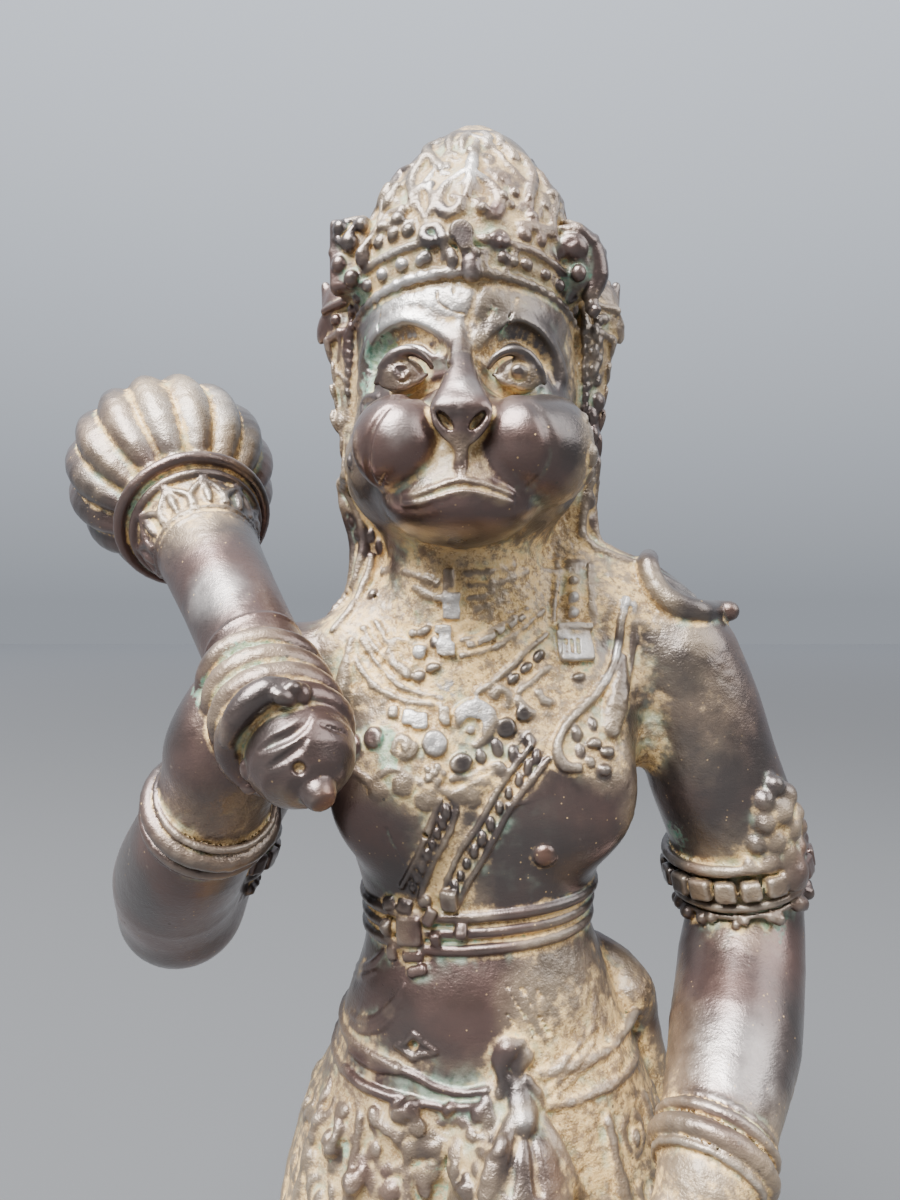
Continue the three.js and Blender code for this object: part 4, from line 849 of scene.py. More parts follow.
def carve_nose(s):
    """A wedge that widens to a blunt front edge, and nostrils in the narrowing underside."""
    s.add(loft([(330.5, FACE_MIDDLE, -43.4, 1.2, 2.6), (333, FACE_MIDDLE, -44.6, 2.8, 3.4),
                (336.4, FACE_MIDDLE, -45.4, 5, 3.8), (339.3, FACE_MIDDLE, -45.6, 6.8, 4.2),
                (341, FACE_MIDDLE, -45.2, 6.6, 4.2), (345, FACE_MIDDLE, -42.6, 4.9, 4),
                (350, FACE_MIDDLE, -39.2, 3, 4), (354, FACE_MIDDLE, -36.6, 2.2, 3.4)], 2.8), 1.2)
    s.cut(egg((FACE_MIDDLE, -51.6, 336.4), (5, 2.9, 2.4)), 0.5)
    for side in BOTH_SIDES:
        s.cut(egg((FACE_MIDDLE + side * 3.5, -48.6, 336.6), (1, 2.4, 2.7), (0, side * 44, 0)), 0.4)
        rim = [(6.4, -47.6, 339, 0.5), (5.4, -47.8, 336.2, 0.8), (3.2, -47.2, 333.4, 0.8),
               (1, -46.4, 331.6, 0.6)]
        s.add(rod([(FACE_MIDDLE + side * x, y, z, r) for x, y, z, r in rim]), 0.8)
    lip_column = [(-48.4, 338.4, 1.3), (-47.4, 335, 1.3), (-46, 331, 1.3), (-45.6, 327.6, 1.4),
                  (-46.2, 325, 1.2)]
    s.add(rod([(FACE_MIDDLE, y, z, r) for y, z, r in lip_column]), 1)


def carve_brows(s):
    """A raised edge, a hollow band under it, and the hairs chiselled across that."""
    brows = (
        ([(360, 386), (364, 358), (378, 335), (405, 323), (428, 329), (447, 339)],
         [(370, 387), (373, 363), (386, 344), (406, 333), (425, 338), (441, 348)]),
        ([(564, 377), (558, 357), (541, 334), (519, 322), (500, 329), (480, 343)],
         [(555, 381), (549, 362), (534, 343), (517, 333), (500, 340), (486, 354)]),
    )
    for edge, band in brows:
        stroke(s, edge, [1.4, 2, 2.4, 2.4, 2.2, 1.6], lift=-1.4, fillet=2.6, steps=5)
        stroke(s, band, [2, 2.7, 3, 2.9, 2.6, 1.8], lift=1.1, fillet=0.8, steps=5, cutting=True)
        hairs = 14
        for i in range(hairs):
            t = 0.7 + i / (hairs - 1) * (len(edge) - 1.8)
            n = min(int(t), len(edge) - 2)
            top, low = [np.add(p[n], np.multiply(np.subtract(p[n + 1], p[n]), t - n))
                        for p in (edge, band)]
            lean = (low - top) * 1.35
            stroke(s, [top + (low - top) * 0.4, top + lean], [0.2, 0.42], fillet=0.2, steps=2,
                   cutting=True)


def carve_eyes(s):
    """Ball, iris, pupil, lids and the folds round them."""
    for side in BOTH_SIDES:
        x = FACE_MIDDLE + side * 13.7
        s.add(egg((x, -29, 351.2), (5.4, 5.2, 4.2)), 0.6)

        def placed(knots):
            return [(x + side * 0.88 * (offset - 13.7), y, 351.5 + 0.74 * (z - 351.3), r)
                    for offset, y, z, r in knots]

        s.add(rod(placed([(5.6, -32.6, 352.4, 0.6), (7.5, -33.4, 355.2, 0.9), (11.3, -33.8, 357.3, 1.2),
                          (15.7, -33, 356.5, 1.2), (19.4, -31.2, 352.6, 0.9), (21, -29.4, 348.4, 0.5)])), 2)
        s.add(rod(placed([(7, -31.9, 350.2, 0.3), (9.5, -32.5, 347.8, 0.35), (14.5, -32.3, 346, 0.45),
                          (18.6, -30.5, 347.4, 0.3)])), 2)
        ring = [(x + 2.5 * math.cos(a), -33.8 + 0.6 * math.sin(a) ** 2, 351.2 + 2.3 * math.sin(a), 0.35)
                for a in (i / 12 * 2 * math.pi for i in range(12))]
        s.cut(rod(ring, closed=True, steps=1), 0.3)
    s.add(egg((FACE_MIDDLE + 13.4, -33.8, 351.2), (1.7, 1.2, 1.6)), 0.4)
    for dx, dz, r in ((0, 0, 1.2), (-0.9, 0.7, 0.7), (1.1, 0.5, 0.6), (0.3, -0.9, 0.6)):
        s.cut(egg((FACE_MIDDLE - 13.7 + dx, -34.3, 351.2 + dz), (r, 1, r)), 0.3)
    strokes(s, [[(449, 366), (440, 382), (422, 392), (410, 396), (400, 397)],
                [(478, 366), (489, 382), (508, 391), (526, 394), (543, 392)]],
            [0.7, 1.2, 1.4, 1.2, 0.8], lift=0.5, fillet=1.2, cutting=True)
    strokes(s, [[(372, 392), (376, 372), (386, 354), (402, 343), (420, 342), (434, 352)],
                [(548, 378), (543, 364), (533, 350), (517, 341), (502, 344), (492, 356)]],
            0.7, lift=0.2, fillet=0.4, cutting=True)
    stroke(s, [(362, 412), (363, 403), (369, 397), (377, 397)], [0.5, 0.8, 0.8, 0.5], fillet=1.4)


def carve_mouth(s):
    """A slit that turns down, between two narrow lips."""
    slit = [(404, 500), (414, 499), (426, 496), (440, 491), (452, 487), (466, 486), (480, 488), (497, 493),
            (512, 499)]
    stroke(s, [(x, y - 4) for x, y in slit], [0.3, 0.5, 0.6, 0.7, 0.7, 0.7, 0.6, 0.5, 0.3], lift=-0.05,
           fillet=1.4, steps=6)
    stroke(s, [(x, y + 4) for x, y in slit], [0.3, 0.4, 0.5, 0.5, 0.5, 0.5, 0.5, 0.4, 0.3], lift=-0.1,
           fillet=1.4, steps=6)
    stroke(s, slit, [0.3, 0.6, 0.8, 0.9, 0.9, 0.9, 0.8, 0.6, 0.3], lift=0.2, fillet=0.4, steps=6,
           cutting=True)


def carve_creases(s):
    """Creases and scratches beside the pouches, and the casting seam and cracks of the forehead."""
    stroke(s, [(388, 408), (373, 428), (367, 455), (372, 480), (388, 498)], [0.5, 1, 1.1, 1, 0.4],
           lift=0.4, fillet=0.8, cutting=True)
    stroke(s, [(532, 404), (546, 424), (551, 450), (545, 472), (530, 488)], [0.4, 0.9, 1, 0.9, 0.4],
           lift=1, fillet=2, cutting=True)
    strokes(s, [[(378, 478), (387, 484)], [(386, 473), (380, 486)], [(381, 306), (378, 330)]],
            [0.25, 0.35], lift=0.1, fillet=0.15, steps=2, cutting=True)
    stroke(s, [(479, 288), (474, 300), (472, 312), (468, 322), (469, 334), (467, 345)],
           [0.9, 1.2, 1, 1.3, 1.1, 0.9], lift=0.85, fillet=0.9, cutting=True)
    strokes(s, [[(437, 291), (439, 303), (452, 311), (464, 314)], [(454, 289), (453, 297)],
                [(518, 298), (512, 312), (503, 331)], [(494, 306), (488, 318)]],
            0.32, fillet=0.15, cutting=True)


def carve_crown_rim(s):
    """A twisted rope, a row of beads, and a roll above them."""
    middle = (-2, 3)

    def rim(angle):
        return 368 + 7.4 * max(math.cos(angle), 0) ** 1.4

    count = 120
    rope = [(*s.around(middle, i / count * 2 * math.pi, rim(i / count * 2 * math.pi)),
             1.4 + 0.13 * (-1) ** i) for i in range(count)]
    s.add(rod(rope, closed=True, steps=1), 0.8)
    count = 34
    for i in range(count):
        angle = (i + 0.5) / count * 2 * math.pi
        at = s.around(middle, angle, rim(angle) + 4.1)
        s.bosses.append((at, 1.6))
        s.add(egg(at, (1.75, 1.5, 1.6), axes=facing(s, at)), 0.25)
    ring_round(s, middle, lambda a: rim(a) + 7.6, 1.25, 0.5, 30)


def carve_crown_front(s):
    # The front leaf: its plate, edges, stem and scrolls
    stroke(s, [(462, 205), (466, 188), (471, 160), (474, 142)], [4, 4.4, 3.4, 1.5], lift=-2.8, fillet=1.5)
    stroke(s, [(414, 208), (421, 190), (434, 172), (452, 148), (470, 135)], [1, 1, 0.9, 0.9, 0.7])
    stroke(s, [(520, 210), (532, 194), (510, 167), (492, 146), (474, 135)], [1, 1, 0.9, 0.9, 0.7])
    stroke(s, [(477, 142), (473, 158), (470, 176), (466, 194)], [0.9, 1.5, 1.6, 1.1])
    strokes(s, [[(462, 172), (449, 183), (441, 196), (440, 208), (447, 215), (458, 209), (460, 200),
                 (452, 197)],
                [(478, 175), (489, 184), (497, 196), (498, 208), (490, 215), (480, 210), (478, 202),
                 (484, 199)]], [1.1, 1.4, 1.8, 2.1, 2.1, 1.7, 1.3, 0.9])
    for pixel, turn in (((455, 156), 20), ((488, 160), 200), ((446, 168), 60), ((503, 178), 160)):
        scroll(s, pixel, 6, turn, 300, 0.7)
    beads(s, [(470, 150, 1, 1.4), (503, 196, 1.3, 1.3), (515, 193, 1.4, 1.4), (510, 206, 1.2, 1.2),
              (482, 208, 1.4, 1.4), (431, 186, 1.1, 1.6)], tall=0.9)
    strokes(s, [[(462, 150), (463, 139), (470, 132)], [(486, 148), (489, 139), (483, 132)],
                [(448, 148), (450, 139), (458, 131)], [(500, 146), (500, 139), (494, 132)]],
            [0.8, 1.3, 0.7])


def carve_crown_leaves(s):
    # Leaves beside the front one, each an oval rim round a hollow
    strokes(s, [[(425, 218), (418, 204), (421, 188), (430, 192), (432, 206), (427, 218)],
                [(404, 214), (398, 200), (404, 184), (411, 192), (411, 206)],
                [(536, 222), (541, 206), (537, 190), (530, 198), (530, 214)],
                [(553, 222), (557, 212), (552, 200), (546, 208), (547, 220)]], 1.2)
    # The dome beside them, seen at a slant: broad petals, one behind the other
    strokes(s, [[(392, 208), (392, 192), (402, 174), (412, 166)], [(376, 214), (380, 198), (388, 188)],
                [(440, 168), (432, 160), (428, 150), (440, 140)], [(412, 196), (414, 178), (424, 160)],
                [(545, 206), (546, 190), (538, 176), (526, 164)], [(560, 216), (558, 204), (552, 196)],
                [(530, 196), (532, 180), (524, 162), (512, 150)], [(500, 146), (508, 152), (514, 160)]],
            [1, 1.9, 1.7, 0.9], lift=-0.2)
    strokes(s, [[(376, 236), (388, 229), (400, 226), (411, 222)], [(381, 226), (391, 218), (402, 212)],
                [(520, 226), (534, 229), (548, 233), (560, 234)], [(385, 214), (390, 202), (397, 190)]],
            [1.2, 2, 1.9, 1])
    for pixel in ((380, 243), (394, 236), (409, 231), (524, 236), (540, 241), (532, 218), (398, 219)):
        bead(s, pixel, 1.9, tall=0.85)


def carve_crown_bosses(s):
    """Three bosses in front: a keyhole drop, a hooked leaf and a ring."""
    bead(s, (461, 233), 3.1, 3, tall=0.95)
    stroke(s, [(464, 240), (467, 252), (471, 264), (472, 272)], [1.9, 2.1, 2.7, 2.4], fillet=0.3)
    stroke(s, [(440, 244), (432, 243), (424, 237), (428, 229), (438, 230), (443, 240), (444, 250),
               (443, 259)], [0.8, 1.3, 1.7, 1.7, 1.6, 1.4, 1.1, 0.8])
    bead(s, (453, 261), 1.6, 1.9, tall=0.9)
    scroll(s, (501, 240), 9, 90, 350, 1.35)
    strokes(s, [[(487, 250), (484, 262), (487, 272)], [(516, 250), (512, 262), (506, 270)]],
            [0.9, 1.3, 0.8])
    for pixel in ((419, 261), (485, 239), (476, 252), (515, 262)):
        bead(s, pixel, 1.2, tall=0.8)


def carve_crown_corners(s):
    """The tall block over the right temple, and the rolled boss over the left one."""
    turned_out = np.array([[0.94, -0.34, 0], [-0.34, -0.94, 0], [0, 0, 1.0]])
    s.add(slab((-29.6, -12.6, 385.4), (5.4, 5, 9.2), 1.4, turned_out), 1.5)
    for at, size in (((-33, -16.4, 391.6), 2), ((-27.4, -18.6, 391.6), 1.8), ((-30.4, -18, 387.2), 2.3),
                     ((-26.6, -19.8, 382.6), 2.4), ((-33.2, -16, 382.6), 2.2), ((-30, -18, 378.4), 2.1),
                     ((-34, -14, 377.4), 1.8)):
        s.add(egg(at, (size, size, size * 1.1)), 0.5)
        s.bosses.append((at, size))
    s.cut(egg((-30.2, -18.6, 392.2), (1.2, 1.4, 1.1)), 0.4)
    s.cut(rod([(-33.6, -17.4, 386.8, 0.5), (-32.4, -18.4, 384.6, 0.7), (-29.8, -19.6, 382, 0.6)]), 0.4)
    s.add(egg((27, -12, 383.5), (6.4, 7, 8.5)), 2)
    s.add(egg((25.2, -18.2, 386.2), (4.2, 3.4, 3.6), (0, 25, 0)), 0.7)
    s.cut(egg((23.6, -22.4, 386.6), (2.6, 1.4, 2.2)), 0.4)
    s.add(rod([(22.4, -19, 390.4, 1.2), (26.5, -18.2, 389.6, 2.4), (30.4, -15.8, 386, 3.2),
               (31.6, -14.6, 380.6, 3.4), (30.4, -14.8, 375.6, 2.4)]), 0.7)
    s.add(egg((26.6, -19, 379.4), (2, 1.8, 2.2)), 0.6)
    s.add(egg((30.6, -15, 372.6), (2, 2, 2.4)), 0.6)


def carve_crown_sides(s):
    """The dome's sides and back: leaves in two tiers, each with a ridge, and bosses below them."""
    middle = (-2, 3)

    def on_dome(turn, aside, z):
        return s.around(middle, turn + aside / 26, z)

    for tier, (count, foot, tall, wide) in enumerate(((7, 384, 22, 8.5), (6, 398, 19, 6.5))):
        for i in range(count):
            turn = math.pi + (i - (count - 1) / 2) * (4.1 / (count - 1 + tier))
            for side in (-1, 1):
                edge = [(0.85 * wide * side, foot), (wide * side, foot + tall * 0.3),
                        (0.62 * wide * side, foot + tall * 0.68), (0, foot + tall)]
                lay(s, [on_dome(turn, a, z) for a, z in edge], [1.1, 1.2, 1, 0.8])
                curl = [(0.2 * wide * side, foot + tall * 0.5), (0.55 * wide * side, foot + tall * 0.36),
                        (0.4 * wide * side, foot + tall * 0.16), (0.2 * wide * side, foot + tall * 0.24)]
                lay(s, [on_dome(turn, a, z) for a, z in curl], 0.8)
            lay(s, [on_dome(turn, 0, foot + tall * share) for share in (0.1, 0.5, 0.9)], [0.7, 1.3, 0.7])
    for degrees in (-150, -115, 115, 150, 180):
        angle = math.radians(degrees)
        at = s.around(middle, angle, 381)
        axes = facing(s, at)
        s.add(egg(at, (2.8, 2.4, 3.4), axes=axes), 0.5)
        s.add(egg(at - (0, 0, 5), (1.6, 1.8, 2.4), axes=axes), 0.4)


def carve_wings(s):
    """Ear wings with leaves in them, and the plaited locks and ribbons that fall beside the face."""
    # Figure's right, on the left of the photograph
    strokes(s, [[(326, 330), (330, 350), (337, 372)], [(352, 318), (346, 335), (345, 352), (347, 370)],
                [(334, 408), (333, 388), (338, 374), (346, 384), (349, 404)],
                [(338, 330), (340, 346), (338, 360)]], 0.8, fillet=0.3)
    for i in range(9):
        bead(s, (351.5 - 0.45 * i, 316 + 9.5 * i), 1.1, 1.5, tall=0.9, lean=25)
    stroke(s, [(341, 414), (339, 422), (342, 434)], [1.4, 2, 1.2])
    stroke(s, [(345, 476), (344, 490), (347, 504), (353, 513)], [1.6, 2.6, 2.4, 1.4])
    beads(s, [(350, 462, 1.1, 1.6), (353, 522, 1.5, 2), (358, 534, 1.4, 1.7), (372, 536, 1, 1.9),
              (380, 547, 1.2, 2.3), (366, 551, 1.1, 1.6), (384, 571, 1.2, 1.3), (373, 594, 1.7, 1.8)],
          tall=0.8)
    stroke(s, [(370, 590), (376, 598)], 0.35, fillet=0.15, steps=2, cutting=True)
    stroke(s, [(372, 556), (370, 570), (360, 596), (348, 614), (334, 630)], [0.9, 1.3, 1.4, 1.4, 1],
           lift=0.1)
    stroke(s, [(362, 560), (355, 580), (344, 596), (328, 610)], [0.8, 1, 1, 0.8])
    for i in range(6):
        bead(s, (356 - 4.5 * i, 580 + 5.2 * i), 1.3, 0.9, tall=0.7, lean=-50)
    # Figure's left
    stroke(s, [(582, 306), (588, 335), (591, 362), (590, 384)], [0.9, 1.1, 1.1, 0.8])
    for i in range(8):
        bead(s, (595 + 0.9 * (i % 2) * 4 - 0.2 * i, 312 + 9.8 * i), 1.4, 1.9, tall=0.8, lean=-20)
    for i in range(11):
        bead(s, (583.5 + 0.5 * i - 0.04 * i * i, 322 + 9.5 * i), 0.9, 1.5, tall=0.9, lean=-20)
    beads(s, [(598, 402, 2.3, 2.6), (592, 416, 1.6, 2.2), (594, 434, 1.5, 2), (592, 456, 2, 2.7),
              (589, 476, 1.6, 2.3), (590, 500, 1.8, 2.5), (590, 522, 1.5, 2.3)], tall=0.7, lean=10)
    # Feathers of the wings and locks of hair, seen from the sides and the back
    for side in BOTH_SIDES:
        for i in range(7):
            level = 372 - 6.5 * i
            at = s.hit((0.3 + side * 60, 1.5, level), (-side, 0, 0))
            axes = facing(s, at)
            s.add(egg(at, (2.6, 1, 4.4), axes=rolled(axes, side * 35)), 0.5)
        for y in (-1, 3, 7):
            path = [s.hit((0.3 + side * 60, y + 0.6 * math.sin(k), z), (-side, 0, 0))
                    for k, z in enumerate((330, 322, 314, 306, 299))]
            lay(s, path, [1, 1.5, 1.6, 1.4, 0.9])
    for i in range(9):
        turn = math.pi + (i - 4) * 0.24
        path = [s.around((-2, 2), turn + 0.05 * math.sin(2 * k + i), z)
                for k, z in enumerate((362, 350, 338, 326, 314, 303))]
        lay(s, path, [1.2, 1.9, 2, 2, 1.8, 1.2], lift=-0.4)


def carve_collar(s):
    strokes(s, [[(404, 572), (420, 577), (438, 583)], [(414, 588), (426, 595), (438, 600)],
                [(468, 574), (490, 571), (514, 566)], [(468, 599), (480, 597), (492, 592)],
                [(476, 609), (486, 606)], [(470, 586), (500, 582), (528, 572)]], 0.75)
    block(s, (449, 585), 1.3, 4, 0.9)
    block(s, (452, 606), 2.2, 3.4, 1)
    block(s, (446, 598), 3.2, 0.8, 0.8)


def carve_necklaces(s):
    """Fine lines that follow the neckline, some broken into dashes."""
    lines = (
        [(462, 655), (480, 652), (497, 646), (524, 627), (543, 611)],
        [(463, 640), (480, 636), (500, 625), (526, 609)],
        [(478, 692), (505, 673), (531, 647), (547, 634)],
        [(519, 692), (535, 679), (550, 666)],
        [(364, 629), (372, 644), (384, 657), (404, 674)],
        [(353, 653), (372, 683), (404, 701), (441, 705)],
        [(362, 640), (378, 664), (404, 688), (440, 698)],
        [(377, 622), (386, 640), (396, 648)],
    )
    for pixels in lines:
        stroke(s, pixels, 0.85, fillet=0.8, lift=-0.1)
    for pixel, lean in (((471, 645), 18), ((482, 641), 22), ((491, 636), 28), ((501, 630), 32),
                        ((512, 624), 32), ((521, 618), 34)):
        block(s, pixel, 1.3, 0.8, 1, lean=lean, rounding=0.3)
    for pixel in ((513, 679), (526, 668), (538, 656)):
        bead(s, pixel, 2, 1.2, tall=0.8, lean=40)


def carve_pendant(s):
    """The flower pendant beside the middle clasp."""
    block(s, (420, 652), 1.9, 1.9, 1.5, rounding=1.4)
    stroke(s, [(408, 670), (396, 663), (391, 650), (396, 641), (406, 641)], [1.2, 1.4, 1.4, 1.2, 0.8])
    beads(s, [(424, 632, 2.2, 1.3), (413, 633, 1.4, 1.3), (419, 676, 2, 1.5), (433, 668, 2, 1.2),
              (408, 675, 1.3, 1.3), (435, 642, 1.1, 1.6)], tall=0.9, lean=20)
    block(s, (446, 638), 1.5, 3.4, 1.4)
    block(s, (446, 649), 2.4, 1.6, 1.5)
    block(s, (442, 629), 2, 1, 1.4)


def carve_lower_necklace(s):
    """Small plaques, the great hook, rings and drops."""
    for pixel, wide, high in (((409, 717), 1.5, 2), ((420, 721), 1.9, 2.2), ((444, 714), 1.4, 1.9),
                              ((394, 712), 1.3, 1.6)):
        block(s, pixel, wide, high, 1.4, rounding=0.8)
    stroke(s, [(458, 722), (462, 713), (474, 709), (486, 713), (490, 724), (486, 737), (477, 746)],
           [1.4, 2.2, 2.6, 2.6, 2.2, 1.7, 1.1])
    bead(s, (471, 730), 1.3, tall=0.8)
    strokes(s, [[(494, 696), (502, 690), (508, 696), (508, 706)], [(518, 702), (524, 708), (530, 714)],
                [(538, 694), (543, 700), (548, 702)]], [1.3, 1.5, 1.3, 1])
    beads(s, [(374, 738, 2.7, 2.8), (354, 745, 2.4, 2.6), (435, 744, 3.2, 3.4), (461, 763, 3, 2.4),
              (506, 728, 2.6, 2.6), (523, 714, 2, 2), (497, 748, 1.6, 2.6), (514, 756, 1.5, 2.6),
              (481, 757, 1.6, 2), (530, 742, 1.3, 2), (446, 722, 1.1, 1.4), (502, 770, 1.4, 1.9)],
          tall=0.85, lean=12)
    scroll(s, (403, 746), 11, 0, 400, 1.5)
    for i in range(5):
        angle = i / 5 * 2 * math.pi
        bead(s, (435 + 8 * math.cos(angle), 774 + 7 * math.sin(angle)), 1.2, tall=0.9)
    bead(s, (435, 774), 1, tall=0.9)
    strokes(s, [[(340, 768), (356, 772), (372, 782), (388, 770), (400, 771), (420, 784), (446, 792)],
                [(452, 779), (470, 778), (484, 770), (498, 764)]], 1)
    for pixel, wide in (((404, 785), 2.9), ((378, 790), 2.4), ((426, 799), 3), ((474, 799), 2.3)):
        bead(s, pixel, wide, wide, tall=0.35)
        at = s.seen(*pixel)
        axes = facing(s, at)
        ring = [at + wide * (axes[0] * math.cos(a) + axes[2] * math.sin(a))
                for a in (i / 10 * 2 * math.pi for i in range(10))]
        lay(s, ring, 0.4, fillet=0.2, steps=2, cutting=True, closed=True)
    for i in range(9):
        t = i / 8
        start = (452 + 48 * t, 796 - 26 * t)
        stroke(s, [start, (start[0] + 5, start[1] + 9)], [1.1, 0.7], steps=2)


def carve_straps(s):
    """Strap ends on the breast, and leaf ribbons in front of the shoulders."""
    strokes(s, [[(557, 562), (556, 590), (553, 624)], [(590, 566), (591, 595), (594, 624)]], 0.75)
    stroke(s, [(573, 566), (573, 595), (574, 622)], 3.6, lift=-2.8, fillet=0.6)
    for y in (581, 597, 613):
        bead(s, (573.5, y), 1.25, tall=1)
    block(s, (574, 647), 4.6, 4.2, 2, rounding=0.6)
    block(s, (574, 629), 4.7, 0.9, 2.3, rounding=0.4)
    for x in (560, 566, 572, 578):
        stroke(s, [(x, 640), (x + 0.6, 646), (x + 1, 652)], 0.6, fillet=0.2, steps=2, cutting=True)
    bead(s, (578, 677), 1.9, 1, tall=0.7, lean=15)
    # Leaf ribbon on the figure's left
    stroke(s, [(622, 658), (619, 684), (614, 708), (610, 728)], [1.6, 3, 3.8, 3], lift=-0.6, fillet=0.8)
    stroke(s, [(626, 600), (621, 620), (617, 648), (608, 676), (592, 698), (574, 716), (561, 734),
               (557, 752), (565, 766), (578, 768)],
           [1, 1.1, 1.1, 1.1, 1.1, 1.1, 1.2, 1.5, 1.6, 1.2], lift=0.3)
    stroke(s, [(634, 606), (633, 640), (630, 672), (625, 700)], [0.6, 0.8, 0.8, 0.6])
    beads(s, [(576, 733, 1.6, 2.2), (580, 752, 1.2, 1.6), (594, 744, 2, 1.4), (607, 752, 2.2, 1.6),
              (604, 770, 1.9, 1.5), (590, 762, 1.3, 1.3), (592, 724, 1.2, 1.8)], tall=0.8)
    # The like on the figure's right, mostly behind the fist
    stroke(s, [(352, 640), (347, 664), (343, 690), (340, 716)], [1, 2, 2.8, 2.4], lift=-0.4)


def carve_cords(s):
    """Two beaded cords that cross the breast to the band below, and the lines of the breast."""
    first = [(540, 752), (524, 772), (504, 800), (486, 832), (470, 858), (457, 882), (449, 902)]
    second = [(448, 806), (440, 828), (430, 850), (420, 872), (411, 892)]
    for path, gap in ((first, 9), (second, 8)):
        for side in BOTH_SIDES:
            edge = [(x + side * (gap + 1.2 * math.sin(2 * k)),
                     y + side * (gap * 0.6 + 0.8 * math.cos(3 * k))) for k, (x, y) in enumerate(path)]
            sizes = [0.7 + 0.3 * math.sin(1.7 * k) ** 2 for k in range(len(path))]
            stroke(s, edge, sizes, lift=0.1, fillet=0.5)
        spans = 2 * (len(path) - 1)
        for i in range(spans):
            t = (i + 0.5) / 2
            n = int(t)
            a, b = np.array(path[n]), np.array(path[n + 1])
            pixel = a + (b - a) * (t - n)
            lean = math.degrees(math.atan2(-(b - a)[1], (b - a)[0]))
            swell = 1 + 0.2 * math.sin(5 * i + gap)
            bead(s, tuple(pixel), 1.9 * swell, 1.1 * swell, tall=0.7, lean=lean + 30, fillet=0.4)
    dent(s, (425, 836), 0.9, 2.2)
    # A nipple, and the lines that part the breast from the belly
    bead(s, (545, 856), 2.9, tall=0.55, fillet=0.6)
    stroke(s, [(386, 829), (393, 846), (403, 866)], 0.4, fillet=0.2, cutting=True)
    stroke(s, [(508, 806), (528, 801), (550, 793)], [0.7, 0.5, 0.3], fillet=0.3)


def carve_band(s):
    """The band under the breast, its clasp, the curved sash at the side, and the navel."""
    for level in (222.8, 218.9, 215):
        ring_round(s, (2, 0), lambda a: level - 1.8 * math.cos(a) + 1.5 * math.sin(a), 1.5, 0.3, 30, 45)
    plates = (((391, 903), 1.7, 1.5, 20), ((406, 906), 1.9, 1.5, -10), ((410, 931), 3, 3.1, 8),
              ((389, 930), 1.3, 3, -4), ((430, 917), 1.3, 2, -25), ((449, 900), 1.9, 2.4, 0),
              ((425, 900), 1.6, 1.2, 30), ((394, 952), 1.4, 1.7, 15), ((414, 955), 2.6, 1.2, 12),
              ((418, 971), 2.3, 1.2, 20), ((461, 932), 1.4, 1.7, 0), ((436, 938), 1.2, 1.6, 10))
    for pixel, wide, high, lean in plates:
        block(s, pixel, 1.12 * wide, 1.12 * high, 1.7, lean=lean, rounding=0.9, fillet=0.3)
    for pixels in ([(355, 964), (364, 967), (374, 962), (384, 950)], [(354, 973), (364, 976), (376, 971)],
                   [(350, 1013), (360, 1020), (374, 1020), (391, 1006), (404, 986)],
                   [(350, 1023), (364, 1031), (382, 1026), (400, 1009)]):
        thick = [0.5, 1, 1.1, 0.9, 0.4]
        stroke(s, pixels, thick[:len(pixels) - 1] + [0.3], lift=-0.25, fillet=0.8)
    diamond = [(396, 1046), (406, 1043), (414, 1034), (423, 1043), (436, 1052), (420, 1055), (412, 1058),
               (405, 1051)]
    stroke(s, diamond, 0.5, closed=True, steps=2, lift=0.15)
    dent(s, (413, 1046), 1.3, 2)
    for i in range(24):
        x = 508 + (i * 17) % 44 - 0.35 * (i % 5)
        y = 988 + (i * 29) % 50
        dent(s, (x, y), 0.5, 0.7, fillet=0.1)


